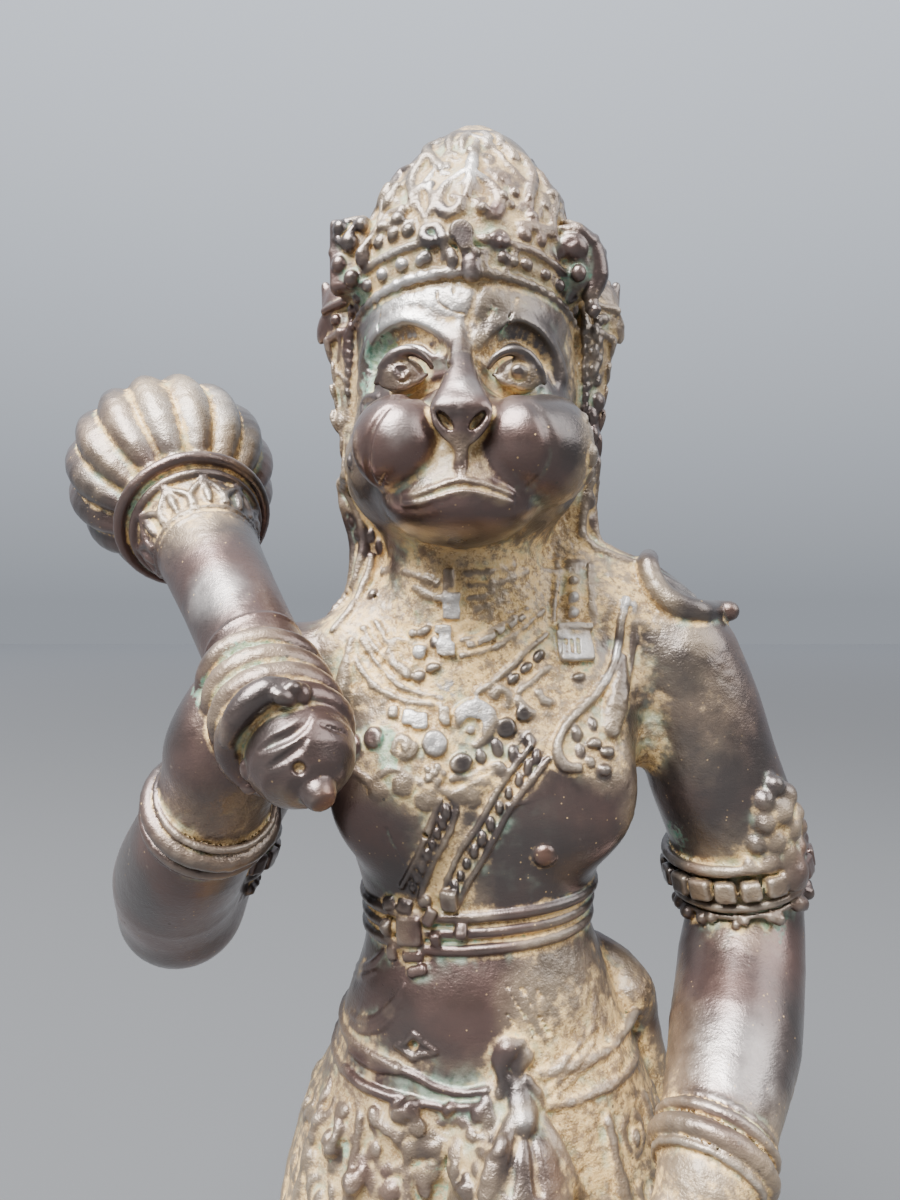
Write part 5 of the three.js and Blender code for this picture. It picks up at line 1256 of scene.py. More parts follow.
def carve_belt(s):
    """The belt with its knot and sash, and the beads and leaves that hang from it."""
    upper = [(351, 1049), (364, 1060), (378, 1068), (402, 1070), (420, 1078), (436, 1087), (464, 1093),
             (486, 1091)]
    lower = [(347, 1068), (362, 1082), (383, 1093), (402, 1097), (423, 1103), (448, 1107), (476, 1106)]
    stroke(s, upper, 0.95, lift=0.2)
    stroke(s, lower, 0.95, lift=0.2)
    for level, thick in ((188.5, 1.3), (181.5, 1.1)):
        angles = [0.45 + i / 20 * (2 * math.pi - 1.1) for i in range(21)]
        lay(s, [s.around((2, 0), a, level - 3.5 * math.cos(a), 55) for a in angles], thick)
    stroke(s, [(524, 1112), (530, 1140), (534, 1168), (536, 1196)], [6, 9.5, 12, 13], lift=-6, fillet=1.2)
    stroke(s, [(512, 1120), (504, 1146), (494, 1172), (486, 1196)], [2, 2.4, 2.6, 2.6],
           lift=-0.6, fillet=0.8)
    stroke(s, [(543, 1116), (556, 1140), (568, 1168), (578, 1196)], [1.6, 2, 2.2, 2.2],
           lift=-0.8, fillet=1)
    for pixels, thick in (([(530, 1134), (536, 1160), (540, 1192)], [0.8, 1.4, 1.6]),
                          ([(518, 1136), (514, 1160), (510, 1192)], [0.6, 1, 1.2])):
        stroke(s, pixels, thick, lift=0.4, fillet=0.8, cutting=True)
    stroke(s, [(514, 1074), (519, 1090), (522, 1106), (524, 1122)], [2.6, 3.8, 4.2, 3.4], lift=-0.8)
    stroke(s, [(503, 1060), (508, 1050), (518, 1044)], [3, 3.4, 2.2], lift=-0.6)
    stroke(s, [(519, 1064), (524, 1056), (530, 1052)], [2.4, 2.6, 1.4], lift=-0.4)
    stroke(s, [(500, 1072), (504, 1082), (500, 1094)], [1.4, 2, 1.4])
    stroke(s, [(528, 1080), (535, 1092), (540, 1104)], [1.4, 2, 1.4])
    for shift, thick in ((0, 1), (13, 1.1), (27, 0.9)):
        stroke(s, [(544 + 0.2 * shift, 1080 + shift), (560, 1066 + shift), (577, 1048 + shift),
                   (592 + 0.1 * shift, 1030 + shift)], [0.5, thick, thick, 0.5], lift=-0.35, fillet=1)
    beads(s, [(402, 1109, 3.4, 2.6, 20), (374, 1120, 1.7, 2.2), (401, 1135, 2.3, 2.1),
              (428, 1146, 2.9, 2.5, 35), (440, 1160, 1.8, 1.8), (388, 1128, 1.4, 1.6),
              (448, 1112, 1.6, 2.2), (486, 1108, 2, 3), (476, 1120, 1.3, 1.6), (500, 1146, 1.7, 2.6),
              (341, 1124, 2.1, 2.4), (363, 1168, 1.9, 3.8, -12), (350, 1182, 2.4, 2.4),
              (392, 1190, 3, 2.6, 25), (426, 1188, 1.8, 2.6), (466, 1186, 1.8, 3),
              (386, 1172, 1.2, 1.8), (400, 1168, 1.3, 1.3), (448, 1176, 1.4, 1.4), (340, 1150, 1.6, 2.4)],
          tall=0.75)
    strokes(s, [[(312, 1128), (306, 1146), (303, 1168)],
                [(322, 1110), (316, 1132), (311, 1156), (312, 1180)],
                [(330, 1080), (326, 1094), (318, 1106)], [(334, 1100), (330, 1120), (326, 1142)],
                [(336, 1118), (346, 1112), (352, 1122), (344, 1134)],
                [(438, 1124), (458, 1120), (470, 1126)], [(456, 1136), (470, 1134), (482, 1138)],
                [(414, 1120), (428, 1126), (438, 1136)], [(372, 1144), (380, 1156), (376, 1170)],
                [(410, 1176), (420, 1166), (432, 1170)], [(446, 1148), (456, 1160), (452, 1172)],
                [(478, 1150), (488, 1162), (484, 1178)]], [0.8, 1.1, 0.9, 0.6])


def carve_skirt(s):
    """The rest of the skirt: a beaded hem, and a leaf spray in each space between two folds."""
    count = 64
    for i in range(count):
        a = i / count * 2 * math.pi
        level = 104 - 4 * math.cos(2 * a) + 2.5 * math.cos(6 * a)
        at = s.around((1, 0), a, level + 6.5, 90)
        s.add(egg(at, (1.5, 1.3, 1.5), axes=facing(s, at)), 0.3)
    folds = 18
    rng = np.random.default_rng(11)
    for _ in range(70):
        pixel = (rng.uniform(306, 492), rng.uniform(1104, 1196))
        size = rng.uniform(1.1, 3)
        stout = rng.uniform(0.5, 1)
        bead(s, pixel, size * stout, size, tall=0.5, lean=rng.uniform(-70, 70), fillet=1.2)
    for i in range(folds):
        a = i / folds * 2 * math.pi
        for k, level in enumerate((166, 152, 138, 124)):
            angle = a + 0.03 * k
            if abs(math.remainder(angle, 2 * math.pi)) < 0.7:
                continue
            heart = s.around((2, 0), angle, level, 90)
            s.add(egg(heart, (1.7, 1.3, 2.3), axes=facing(s, heart)), 0.3)
            for side in BOTH_SIDES:
                leaf = [s.around((2, 0), angle + side * out, level + up, 90)
                        for out, up in ((0.02, -3.5), (0.07, -1), (0.075, 3), (0.03, 4.5))]
                lay(s, leaf, [0.7, 1.1, 0.9, 0.5], steps=2)


def carve_back(s):
    """The plainer back: the cord and chest band run on, a clasp, and the spine."""
    lay(s, [s.hit((x, 80, z), (0, -1, 0)) for x, z in ((4, 292), (3, 268), (3, 244), (3, 226))],
        [0.9, 1.3, 1.3, 0.9], lift=0.6, fillet=1.5, cutting=True)
    path = ((30, 292), (22, 280), (12, 264), (0, 248), (-12, 232), (-20, 222))
    for shift in (-3, 3):
        lay(s, [s.hit((x + shift, 80, z + 0.4 * shift), (0, -1, 0)) for x, z in path], 1.1)
    for (x0, z0), (x1, z1) in zip(path[:-1], path[1:]):
        for share in (0.2, 0.5, 0.8):
            at = s.hit((x0 + (x1 - x0) * share, 80, z0 + (z1 - z0) * share), (0, -1, 0))
            s.add(egg(at, (1.5, 1.3, 1.5), axes=facing(s, at)), 0.3)
    at = s.hit((2, 80, 217), (0, -1, 0))
    s.add(slab(at, (6, 2, 5.5), 1, facing(s, at)), 0.6)
    s.add(egg(at, (2.4, 3.4, 2.4), axes=facing(s, at)), 0.4)
    for i in range(7):
        x = -36 + 12 * i
        collar = s.hit((0.75 * x, 80, 296 - 0.012 * x * x), (0, -1, 0))
        s.add(egg(collar, (2.8, 1.6, 3.6), axes=facing(s, collar)), 0.4)


def armlet(s, centre, axis, radius, crest_side):
    """Two rings, a row of blocks between them, a fringe below, and a crest on the outer side."""
    side, up, way = frame_of(axis)

    def at(angle, along, out):
        return np.array(centre) + way * along + out * (side * math.cos(angle) + up * math.sin(angle))

    ring_across(s, at(0, -2.2, 0), radius + 0.6, 1.5, axis, 0.5)
    ring_across(s, at(0, 8.6, 0), radius - 0.4, 1.2, axis, 0.5)
    ring_across(s, at(0, 11.4, 0), radius - 1, 0.8, axis, 0.4)
    blocks = 18
    for i in range(blocks):
        angle = i / blocks * 2 * math.pi
        out = side * math.cos(angle) + up * math.sin(angle)
        axes = np.array([np.cross(out, way), out, way])
        size = 2.75 + 0.2 * math.sin(5 * i)
        s.add(slab(at(angle, 3.2, radius + 0.9), (size, 2, size), 0.9, axes), 0.3)
    lumps = 24
    for i in range(lumps):
        angle = (i + 0.3 * math.sin(3 * i)) / lumps * 2 * math.pi
        size = 1.7 + 0.5 * math.sin(7 * i)
        s.add(egg(at(angle, 12.6 + 0.8 * math.sin(4 * i), radius - 0.4), (size, size, size)), 0.6)
    base = 0 if side[0] * crest_side > 0 else math.pi
    crest = ((0.05, -22, 2.4), (0.28, -19, 2.4), (-0.16, -18, 3), (0.06, -15, 3.4), (0.34, -13.5, 2.8),
             (-0.3, -12, 3), (-0.08, -9.5, 3.4), (0.24, -8, 3), (0.5, -8.5, 2.4), (-0.46, -7, 2.6),
             (0.06, -4, 3), (0.38, -3.4, 2.6), (-0.26, -3, 2.6), (-0.6, -3.4, 1.8), (0.66, -3.6, 1.8),
             (0, 1.8, 4.2))
    for turn, along, size in crest:
        s.add(egg(at(base + turn, along, radius - 0.2), (1.12 * size, 1.1 * size, 1.2 * size)), 1.5)
    for turn, along in ((0.12, -18.5), (0.1, -12), (-0.2, -15), (0.4, -11), (-0.28, -7), (0.22, -5.2)):
        s.cut(egg(at(base + turn, along, radius + 3.8), (1, 1.4, 1)), 0.5)


def bracelet(s, centre, axis, radius):
    way = np.array(axis, float) / np.linalg.norm(axis)
    ring_across(s, centre, radius + 0.4, 2.4, axis, 0.6)
    ring_across(s, np.array(centre) - way * 4.6, radius + 0.6, 1.5, axis, 0.5)
    ring_across(s, np.array(centre) + way * 3.6, radius - 0.2, 1, axis, 0.4)
    ring_across(s, np.array(centre) - way * 7.4, radius, 0.8, axis, 0.4, twist=24)


def carve_arms(s):
    armlet(s, (73.5, 6, 229), (0.2, 0.13, -1), 17.6, 1)
    bracelet(s, (54, -38, 171), (-0.5, -0.75, -0.6), 12.3)
    armlet(s, (-71, 7, 236), (-0.35, 0.13, -1), 16.6, -1)
    bracelet(s, (-61.5, -30, 249), (0.45, -0.6, 0.75), 14)


def carve_club(s):
    """Collar of the club's head, its band of leaves, and the fluted pommel."""
    side, up, axis = frame_of(CLUB_HEAD - FIST)

    def at(along, angle, out):
        return FIST + axis * along + out * (side * math.cos(angle) + up * math.sin(angle))

    neck = CLUB_REACH - 28
    for along, out, thick in ((neck + 0.8, 19.6, 1.9), (neck - 2.6, 16.6, 1.5), (neck - 14.4, 13.4, 0.7),
                              (neck - 16.6, 13, 0.5), (17, 11.1, 0.6)):
        knots = [(*at(along, i / 36 * 2 * math.pi, out), thick) for i in range(36)]
        s.add(rod(knots, closed=True, steps=1), 0.4)
    leaves = 10
    for i in range(leaves):
        a = (i + 0.35) / leaves * 2 * math.pi
        half = math.pi / leaves
        for turn in BOTH_SIDES:
            edge = [(-12.6, 0.9, 13.9), (-10, 0.98, 14.5), (-7.4, 0.6, 15.2), (-4.6, 0, 15.9)]
            s.add(rod([(*at(neck + t, a + turn * half * w, r), 0.95) for t, w, r in edge], steps=3), 0.4)
        rib = [(-12.4, 13.9, 0.9), (-9.4, 14.6, 1.35), (-6, 15.5, 0.8)]
        s.add(rod([(*at(neck + t, a, r), thick) for t, r, thick in rib], steps=3), 0.4)
    # Hand: the little finger's root, a broken lump, and the heel beside the pommel
    stroke(s, [(226, 741), (236, 717), (250, 700), (266, 690), (284, 687)], [1.6, 2.8, 3.2, 3.2, 2.4],
           lift=-0.6, fillet=0.8)
    beads(s, [(284, 697, 3, 2, -20), (302, 694, 2, 2.4, 0), (250, 787, 2, 1.6, 0),
              (246, 770, 1.6, 2.2, 0), (293, 688, 2, 1.6, 0)], tall=0.8, fillet=0.6)
    # Pommel: cast with cracks and a hole
    stroke(s, [(258, 752), (272, 743), (290, 735), (304, 724), (310, 715)], [0.5, 1.2, 1.3, 1.1, 0.5],
           lift=0.3, fillet=0.6, cutting=True)
    stroke(s, [(268, 768), (284, 758), (298, 748), (306, 739)], [0.5, 1.1, 1.1, 0.5],
           lift=0.2, fillet=0.6, cutting=True)
    stroke(s, [(320, 724), (334, 729), (346, 734)], [0.3, 0.6, 0.3], fillet=0.3, cutting=True)
    dent(s, (299, 769), 1.4, 1.6)


# Pieces: regions of the sculpture, each as low corner, high corner and cell size

REGIONS = {
    "face": ((-48, -82, 303), (50, 4, 371), 0.5),
    "crown": ((-48, -82, 371), (50, 4, 436), 0.5),
    "back_of_head": ((-48, 4, 303), (50, 74, 436), 1.0),
    "club_head": ((-126, -82, 303), (-48, 74, 436), 0.8),
    "chest": ((-48, -31, 240), (50, 2, 303), 0.5),
    "fist": ((-126, -82, 225), (50, -31, 303), 0.6),
    "right_arm": ((-126, -31, 165), (-48, 74, 303), 0.9),
    "left_arm": ((50, -82, 165), (106, 74, 330), 0.8),
    "belly": ((-48, -31, 165), (50, 2, 240), 0.6),
    "back": ((-48, 2, 165), (50, 74, 303), 1.1),
    "hand_and_belly": ((-48, -82, 165), (50, -31, 225), 0.65),
    "skirt_front": ((-126, -82, 92), (106, 0, 165), 0.85),
    "skirt_back": ((-126, 0, 92), (106, 74, 165), 1.15),
    "legs": ((-126, -82, -14), (106, 74, 92), 1.35),
}


def make_sculpture():
    s = Sculpture()
    add_trunk(s)
    add_legs(s)
    add_cloth(s)
    carve_belt(s)
    carve_skirt(s)
    add_head(s)
    add_left_arm(s)
    add_ear_wings(s)
    add_crown(s)
    carve_nose(s)
    carve_brows(s)
    carve_eyes(s)
    carve_mouth(s)
    carve_creases(s)
    s.mark()
    carve_crown_rim(s)
    carve_crown_front(s)
    carve_crown_leaves(s)
    carve_crown_bosses(s)
    carve_crown_corners(s)
    carve_crown_sides(s)
    s.wear((-26, -82, 368), (22, 0, 426), 3.2)
    carve_wings(s)
    s.mark()
    carve_collar(s)
    carve_necklaces(s)
    carve_pendant(s)
    carve_lower_necklace(s)
    s.wear((-48, -60, 205), (60, 0, 300), 1.5)
    carve_straps(s)
    carve_cords(s)
    carve_band(s)
    carve_back(s)
    add_right_arm(s)
    add_fist(s)
    add_club(s)
    add_tail(s)
    carve_arms(s)
    carve_club(s)
    return s


def to_metres(points):
    return (points + (0, 0, PLINTH_HEIGHT)) * MM


def add_piece(name, mesh, material, masks):
    """A piece of the one casting, with a value of each mask at each point of its mesh."""
    for mask, values in masks.items():
        layer = mesh.attributes.new(mask, "FLOAT", "POINT")
        layer.data.foreach_set("value", values.astype(np.float32))
    mesh.materials.append(material)
    piece = bpy.data.objects.new(name, mesh)
    bpy.context.scene.collection.objects.link(piece)
    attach(piece, "root")
    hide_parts(NODE)


def skin_mesh(name, points, quads, normals):
    mesh = bpy.data.meshes.new(name)
    mesh.vertices.add(len(points))
    mesh.vertices.foreach_set("co", to_metres(points).astype(np.float32).ravel())
    mesh.loops.add(quads.size)
    mesh.loops.foreach_set("vertex_index", quads.astype(np.int32).ravel())
    mesh.polygons.add(len(quads))
    mesh.polygons.foreach_set("loop_start", np.arange(0, quads.size, 4, dtype=np.int32))
    mesh.update(calc_edges=True)
    mesh.shade_smooth()
    mesh.normals_split_custom_set_from_vertices(normals.astype(np.float32))
    return mesh


def box_blur(values, reach):
    """Each value becomes the mean of those within reach, along each axis in turn."""
    out = values
    for axis in range(3):
        sums = np.cumsum(out, axis=axis, dtype=np.float32)
        padded = np.concatenate([np.zeros_like(np.take(sums, [0], axis)), sums], axis)
        size = out.shape[axis]
        stop = np.minimum(np.arange(size) + reach + 1, size)
        start = np.maximum(np.arange(size) - reach, 0)
        shape = [1, 1, 1]
        shape[axis] = size
        out = ((np.take(padded, stop, axis) - np.take(padded, start, axis))
               / (stop - start).reshape(shape).astype(np.float32))
    return out


def solid_share(clay, reach_mm):
    """How much of the space around each cell is metal: a half on flat faces, more in hollows."""
    metal = np.clip(0.5 - clay.values / (2 * clay.cell), 0, 1)
    reach = max(1, round(reach_mm / clay.cell))
    return box_blur(box_blur(metal, reach), reach)


class Nodes:
    """Short ways to write a material's node graph."""

    def __init__(self, material):
        self.tree = material.node_tree

    def put(self, kind, values=None, **settings):
        node = self.tree.nodes.new(kind)
        for key, value in settings.items():
            setattr(node, key, value)
        for key, value in (values or {}).items():
            if isinstance(value, bpy.types.NodeSocket):
                self.tree.links.new(value, node.inputs[key])
            else:
                node.inputs[key].default_value = value
        return node

    def sum(self, operation, a, b=0.0, c=0.0):
        return self.put("ShaderNodeMath", {0: a, 1: b, 2: c}, operation=operation).outputs[0]

    def add(self, *parts):
        total = parts[0]
        for part in parts[1:]:
            total = self.sum("ADD", total, part)
        return total

    def times(self, a, b):
        return self.sum("MULTIPLY", a, b)

    def ramp(self, value, low, high, start=0.0, end=1.0):
        """Eases from start to end while the value goes from low to high."""
        values = {0: value, 1: low, 2: high, 3: start, 4: end}
        node = self.put("ShaderNodeMapRange", values, interpolation_type="SMOOTHSTEP", clamp=True)
        return node.outputs[0]

    def mix(self, share, a, b):
        node = self.put("ShaderNodeMix", {0: share, 6: a, 7: b}, data_type="RGBA")
        return node.outputs[2]

    def blend(self, share, a, b):
        return self.put("ShaderNodeMix", {0: share, 2: a, 3: b}, data_type="FLOAT").outputs[0]

    def mask(self, name):
        return self.put("ShaderNodeAttribute", attribute_name=name).outputs["Fac"]

    def noise(self, place, size_mm, detail, rough=0.55, stretch=(1, 1, 1)):
        """Noise with features of about the given size."""
        scaled = self.put("ShaderNodeMapping", {"Vector": place, "Scale": stretch}).outputs[0]
        values = {"Vector": scaled, "Scale": 1 / (size_mm * MM), "Detail": detail, "Roughness": rough}
        return self.put("ShaderNodeTexNoise", values).outputs["Fac"]

    def specks(self, place, gap_mm, size):
        """Round spots a given gap apart; size is their share of the gap."""
        values = {"Vector": place, "Scale": 1 / (gap_mm * MM), "Randomness": 1.0}
        distance = self.put("ShaderNodeTexVoronoi", values).outputs["Distance"]
        return self.ramp(distance, size * 0.6, size, 1.0, 0.0)


def swing(n, noise, size):
    """A noise as a value that swings to both sides of nought."""
    return n.sum("MULTIPLY_ADD", noise, size, -0.5 * size)


def metal_colour(n, noises, hollow, ochre, painted_shade):
    """Dark brownish bronze, redder in broad patches and dusty under the ochre. Paler on ridges as a painted
    highlight, and bright where worn bare, which is painted as a highlight too. Painted shade dims the dust
    and the ridge highlights.
    """
    broad, cloudy, _, _ = noises
    metal = n.mix(n.ramp(n.add(broad, n.times(cloudy, 0.3)), 0.5, 0.85), BRONZE_DARK, BRONZE_RED)
    dusty = n.times(n.ramp(n.add(ochre, swing(n, cloudy, 0.6)), 0.05, 0.8), n.blend(painted_shade, 0.8, 0.35))
    metal = n.mix(dusty, metal, BRONZE_DUSTY)
    # Painted highlight: paler bronze on ridges, stronger where the ochre mask is high and weaker under
    # painted shade
    ridge = n.times(n.ramp(hollow, 0.43, 0.33), n.sum("MULTIPLY_ADD", ochre, 0.5, 0.1))
    metal = n.mix(n.times(ridge, n.blend(painted_shade, 1, 0.15)), metal, BRONZE_RIDGE_HIGHLIGHT)
    # Worn spots: bare of deposit, and painted bright as highlights
    polish_highlight_share = n.ramp(n.add(n.mask("polish_and_highlight"), swing(n, cloudy, 0.5)), 0.1, 0.9)
    rubbed_and_highlight = n.times(n.ramp(hollow, 0.56, 0.46), polish_highlight_share)
    metal = n.mix(n.times(rubbed_and_highlight, 0.85), metal, BRONZE_RUBBED_HIGHLIGHT)
    return n.mix(n.mask("copper"), metal, COPPER), dusty, rubbed_and_highlight


def deposit_layer(n, noises, hollow, ochre, painted_shade, rubbed_and_highlight):
    """Earth that fills the hollows, and spreads over the surface where the ochre mask is high; browner as
    painted shade where the shade mask is high, and near-black as painted shade in the deepest hollows.
    """
    _, cloudy, grainy, fine = noises
    depth = n.add(swing(n, hollow, 6.2), swing(n, n.mask("wide_hollow"), 1.6),
                  swing(n, n.mask("deep_hollow"), 0.6))
    patchy = n.add(swing(n, cloudy, 1.5), swing(n, grainy, 1))
    spread = n.add(depth, patchy, n.sum("MULTIPLY_ADD", ochre, 1.0, -0.32))
    deposit = n.ramp(n.sum("SUBTRACT", spread, n.times(rubbed_and_highlight, 0.9)), 0.1, 0.85)
    speckled = n.ramp(n.add(cloudy, swing(n, grainy, 1.3), swing(n, fine, 0.4)), 0.34, 0.66)
    earth = n.mix(speckled, OCHRE_DARK, OCHRE_PALE)
    earth = n.mix(n.times(n.ramp(fine, 0.45, 0.75), 0.25), earth, DUST)
    # Painted shade: the deposit turns browner where the shade mask is high
    earth_in_shade = n.times(painted_shade, n.ramp(n.add(cloudy, swing(n, grainy, 1.4)), 0.25, 0.6))
    earth = n.mix(n.times(earth_in_shade, 0.75), earth, SHADED_EARTH)
    # Painted shade: the deposit goes near-black in the deepest hollows
    hollow_shade = n.ramp(n.sum("SUBTRACT", depth, patchy), 1.4, 2.3)
    return n.mix(n.times(hollow_shade, 0.7), earth, DARK_PITS_AND_HOLLOW_SHADE), deposit, depth


def bronze_material():
    """Dark glossy bronze with ochre deposit in the hollows, green patina and worn copper spots, with
    painted highlights on ridges and worn spots, and painted shade.
    """
    material = bpy.data.materials.new("bronze")
    material.use_nodes = True
    n = Nodes(material)
    shader = material.node_tree.nodes["Principled BSDF"]
    place = n.put("ShaderNodeTexCoord").outputs["Object"]
    cloudy = n.noise(place, 9, 3, 0.6)
    grainy = n.noise(place, 2, 3, 0.65)
    fine = n.noise(place, 0.6, 1, 0.6)
    noises = (n.noise(place, 34, 1), cloudy, grainy, fine)
    hollow, ochre, painted_shade = (n.mask(name) for name in ("hollow", "ochre", "painted_shade"))
    metal, dusty, rubbed_and_highlight = metal_colour(n, noises, hollow, ochre, painted_shade)
    earth, deposit, depth = deposit_layer(n, noises, hollow, ochre, painted_shade, rubbed_and_highlight)

    # Green patina: pale on the deposit, stronger in the hollows
    mossy = n.noise(place, 13, 3, 0.7)
    stray = n.times(n.ramp(mossy, 0.5, 0.68), n.ramp(depth, -0.2, 0.6))
    painted = n.add(n.mask("green"), swing(n, grainy, 1.6), swing(n, mossy, 1.1), n.times(depth, 0.4))
    green = n.times(n.sum("MAXIMUM", n.ramp(painted, 0.55, 1), n.times(stray, 0.7)), 0.75)
    green_tone = n.mix(n.ramp(grainy, 0.4, 0.65), VERDIGRIS_PALE, VERDIGRIS_DEEP)

    dust = n.times(n.specks(place, 2.2, 0.13), n.ramp(cloudy, 0.45, 0.62))
    pits = n.times(n.specks(place, 5.5, 0.09), n.ramp(mossy, 0.4, 0.6))
    cover = n.sum("MAXIMUM", deposit, n.times(dust, 0.5))
    colour = n.mix(cover, metal, earth)
    colour = n.mix(green, colour, green_tone)
    colour = n.mix(n.times(pits, 0.9), colour, DARK_PITS_AND_HOLLOW_SHADE)
    dull = n.sum("MAXIMUM", cover, n.sum("MAXIMUM", green, pits))
    shine = n.add(n.blend(n.ramp(cloudy, 0.3, 0.75), 0.29, 0.4), swing(n, grainy, 0.15),
                  n.times(dusty, 0.2))

    # Surface: cast skin with fine file marks, crustier under the deposit
    files = n.noise(place, 1.6, 1, 0.5, (1.0, 0.35, 3.4))
    crusty = n.times(n.add(grainy, n.times(fine, 0.9)), n.sum("MULTIPLY_ADD", ochre, 0.7, 0.2))
    bump = n.put("ShaderNodeBump", {"Height": n.add(crusty, n.times(files, 0.12)), "Strength": 0.8,
                                    "Distance": 0.35 * MM})
    links = {"Base Color": colour, "Roughness": n.blend(dull, shine, 0.7), "Normal": bump.outputs[0],
             "Metallic": n.blend(dull, n.blend(dusty, 0.8, 0.4), 0.0)}
    for name, socket in links.items():
        material.node_tree.links.new(socket, shader.inputs[name])
    shader.inputs["Coat Weight"].default_value = 0.4
    shader.inputs["Coat Roughness"].default_value = 0.25
    return material


# Paint: spots where the photograph shows more deposit, green patina or rubbed copper

def nearness(points, at, reach):
    """1 at a place, easing to 0 at its reach."""
    away = np.linalg.norm(points - at, axis=1) / reach
    return np.clip(1.5 - 1.5 * away, 0, 1)


def paint(s, points, spots):
    """How strongly each point is in the spots: [photo pixel x and y, reach in mm, strength]."""
    share = np.zeros(len(points))
    for px, py, reach, strength in spots:
        share = np.maximum(share, strength * nearness(points, s.seen(px, py), reach))
    return share


OCHRE_SPOTS = [
    (430, 600, 22, 0.8), (480, 630, 28, 1), (390, 650, 26, 1), (540, 600, 26, 1), (560, 700, 24, 0.95),
    (470, 680, 26, 1), (350, 610, 18, 0.8), (620, 590, 16, 0.9), (655, 610, 10, 0.8),
    (600, 740, 18, 0.9), (420, 760, 24, 0.85), (500, 780, 20, 0.8), (460, 220, 34, 0.85),
    (400, 240, 20, 0.9), (530, 240, 20, 0.9), (460, 160, 22, 0.75), (335, 400, 22, 0.9),
    (340, 480, 20, 0.8), (600, 350, 24, 1), (598, 450, 22, 1), (590, 520, 20, 0.9), (360, 590, 16, 0.9),
    (400, 378, 7, 0.75), (520, 378, 8, 0.9), (485, 350, 8, 0.7), (458, 442, 6, 0.9), (440, 470, 6, 0.7),
    (480, 470, 6, 0.7), (433, 560, 16, 0.6), (420, 493, 4, 0.8), (440, 487, 4, 0.9), (462, 482, 5, 1),
    (484, 486, 4, 0.9), (502, 492, 4, 0.8), (446, 455, 3.4, 0.9), (476, 455, 3.4, 0.9),
    (474, 128, 12, 0.9), (500, 140, 10, 0.8), (410, 340, 10, 0.5), (440, 160, 18, 0.8),
    (520, 160, 18, 0.8), (385, 200, 16, 0.8), (555, 205, 16, 0.8), (380, 1120, 42, 0.9),
    (450, 1160, 44, 0.9), (560, 1130, 44, 1), (590, 1050, 34, 1), (610, 990, 20, 0.6),
    (640, 985, 16, 0.9), (700, 640, 10, 0.5), (652, 740, 10, 0.7), (520, 1010, 18, 0.75),
    (556, 960, 18, 0.5), (400, 950, 14, 0.7), (440, 850, 20, 0.75), (470, 880, 18, 0.7),
    (740, 880, 22, 0.7), (790, 830, 14, 0.8), (640, 760, 10, 0.8), (250, 660, 18, 0.65),
    (215, 700, 14, 0.6), (190, 510, 18, 0.65), (175, 400, 26, 0.75), (235, 440, 16, 0.6),
    (110, 440, 24, 0.45), (672, 700, 30, 0.4), (640, 800, 14, 0.5), (230, 830, 22, 0.6),
    (300, 790, 12, 0.65), (362, 1053, 5, 0.9), (392, 1062, 5, 0.9), (424, 1072, 5, 0.9),
    (458, 1086, 5, 0.8), (413, 1047, 4, 1), (360, 968, 5, 0.8), (362, 1021, 6, 0.9),
    (388, 1010, 5, 0.9), (400, 930, 8, 0.6), (412, 962, 5, 0.7), (400, 368, 6, 1), (520, 368, 6, 1),
]
BARE_SPOTS = [
    (385, 1085, 9, 0.9), (412, 1088, 9, 0.9), (440, 1096, 9, 0.9), (470, 1100, 8, 0.9),
    (360, 1070, 8, 0.8), (400, 1010, 24, 0.6), (450, 1010, 22, 0.6), (380, 850, 14, 0.6),
    (540, 850, 22, 0.9), (505, 1066, 7, 0.9), (524, 1150, 14, 0.7), (545, 1180, 12, 0.7),
    (398, 445, 10, 0.8), (522, 460, 10, 0.8), (455, 530, 10, 0.8), (458, 408, 9, 0.9),
    (556, 440, 16, 1), (562, 400, 10, 0.8), (386, 358, 3, 0.9), (396, 350, 3, 0.9), (410, 347, 3, 0.9),
    (423, 352, 3, 0.8), (504, 352, 3, 0.8), (517, 347, 3, 0.9), (531, 352, 3, 0.9), (541, 364, 3, 0.9),
    (399, 370, 2.4, 1), (519, 371, 2.6, 0.9), (300, 745, 14, 0.8), (325, 790, 10, 0.9),
    (250, 690, 10, 0.5), (432, 238, 4.5, 0.9), (461, 234, 4.5, 0.9), (469, 262, 5, 0.9),
    (501, 240, 4.5, 0.8), (441, 209, 3.5, 0.6), (496, 208, 3.5, 0.7), (518, 1088, 8, 0.8),
    (512, 1060, 6, 0.7), (605, 250, 12, 0.6), (566, 262, 8, 0.7),
]
GREEN_SPOTS = [
    (372, 352, 7, 0.9), (366, 385, 6, 0.9), (380, 335, 6, 0.7), (497, 318, 8, 0.55), (384, 742, 6, 1),
    (388, 760, 5, 0.9), (355, 290, 8, 0.7), (580, 280, 8, 0.5), (674, 833, 8, 0.8),
    (715, 905, 10, 0.55), (775, 930, 10, 0.6), (750, 900, 9, 0.5), (240, 650, 9, 0.75),
    (200, 690, 8, 0.7), (140, 500, 12, 0.5), (262, 480, 8, 0.5), (410, 610, 9, 0.45),
    (500, 1050, 10, 0.5), (420, 1180, 12, 0.5), (330, 1150, 12, 0.5), (600, 560, 8, 0.4),
    (590, 680, 9, 0.45), (350, 480, 8, 0.5), (120, 560, 10, 0.5),
]
COPPER_SPOTS = [
    (331, 800, 4, 0.7), (545, 857, 3.2, 0.6), (730, 611, 3, 0.3), (695, 872, 5, 0.3),
    (800, 850, 5, 0.35),
]
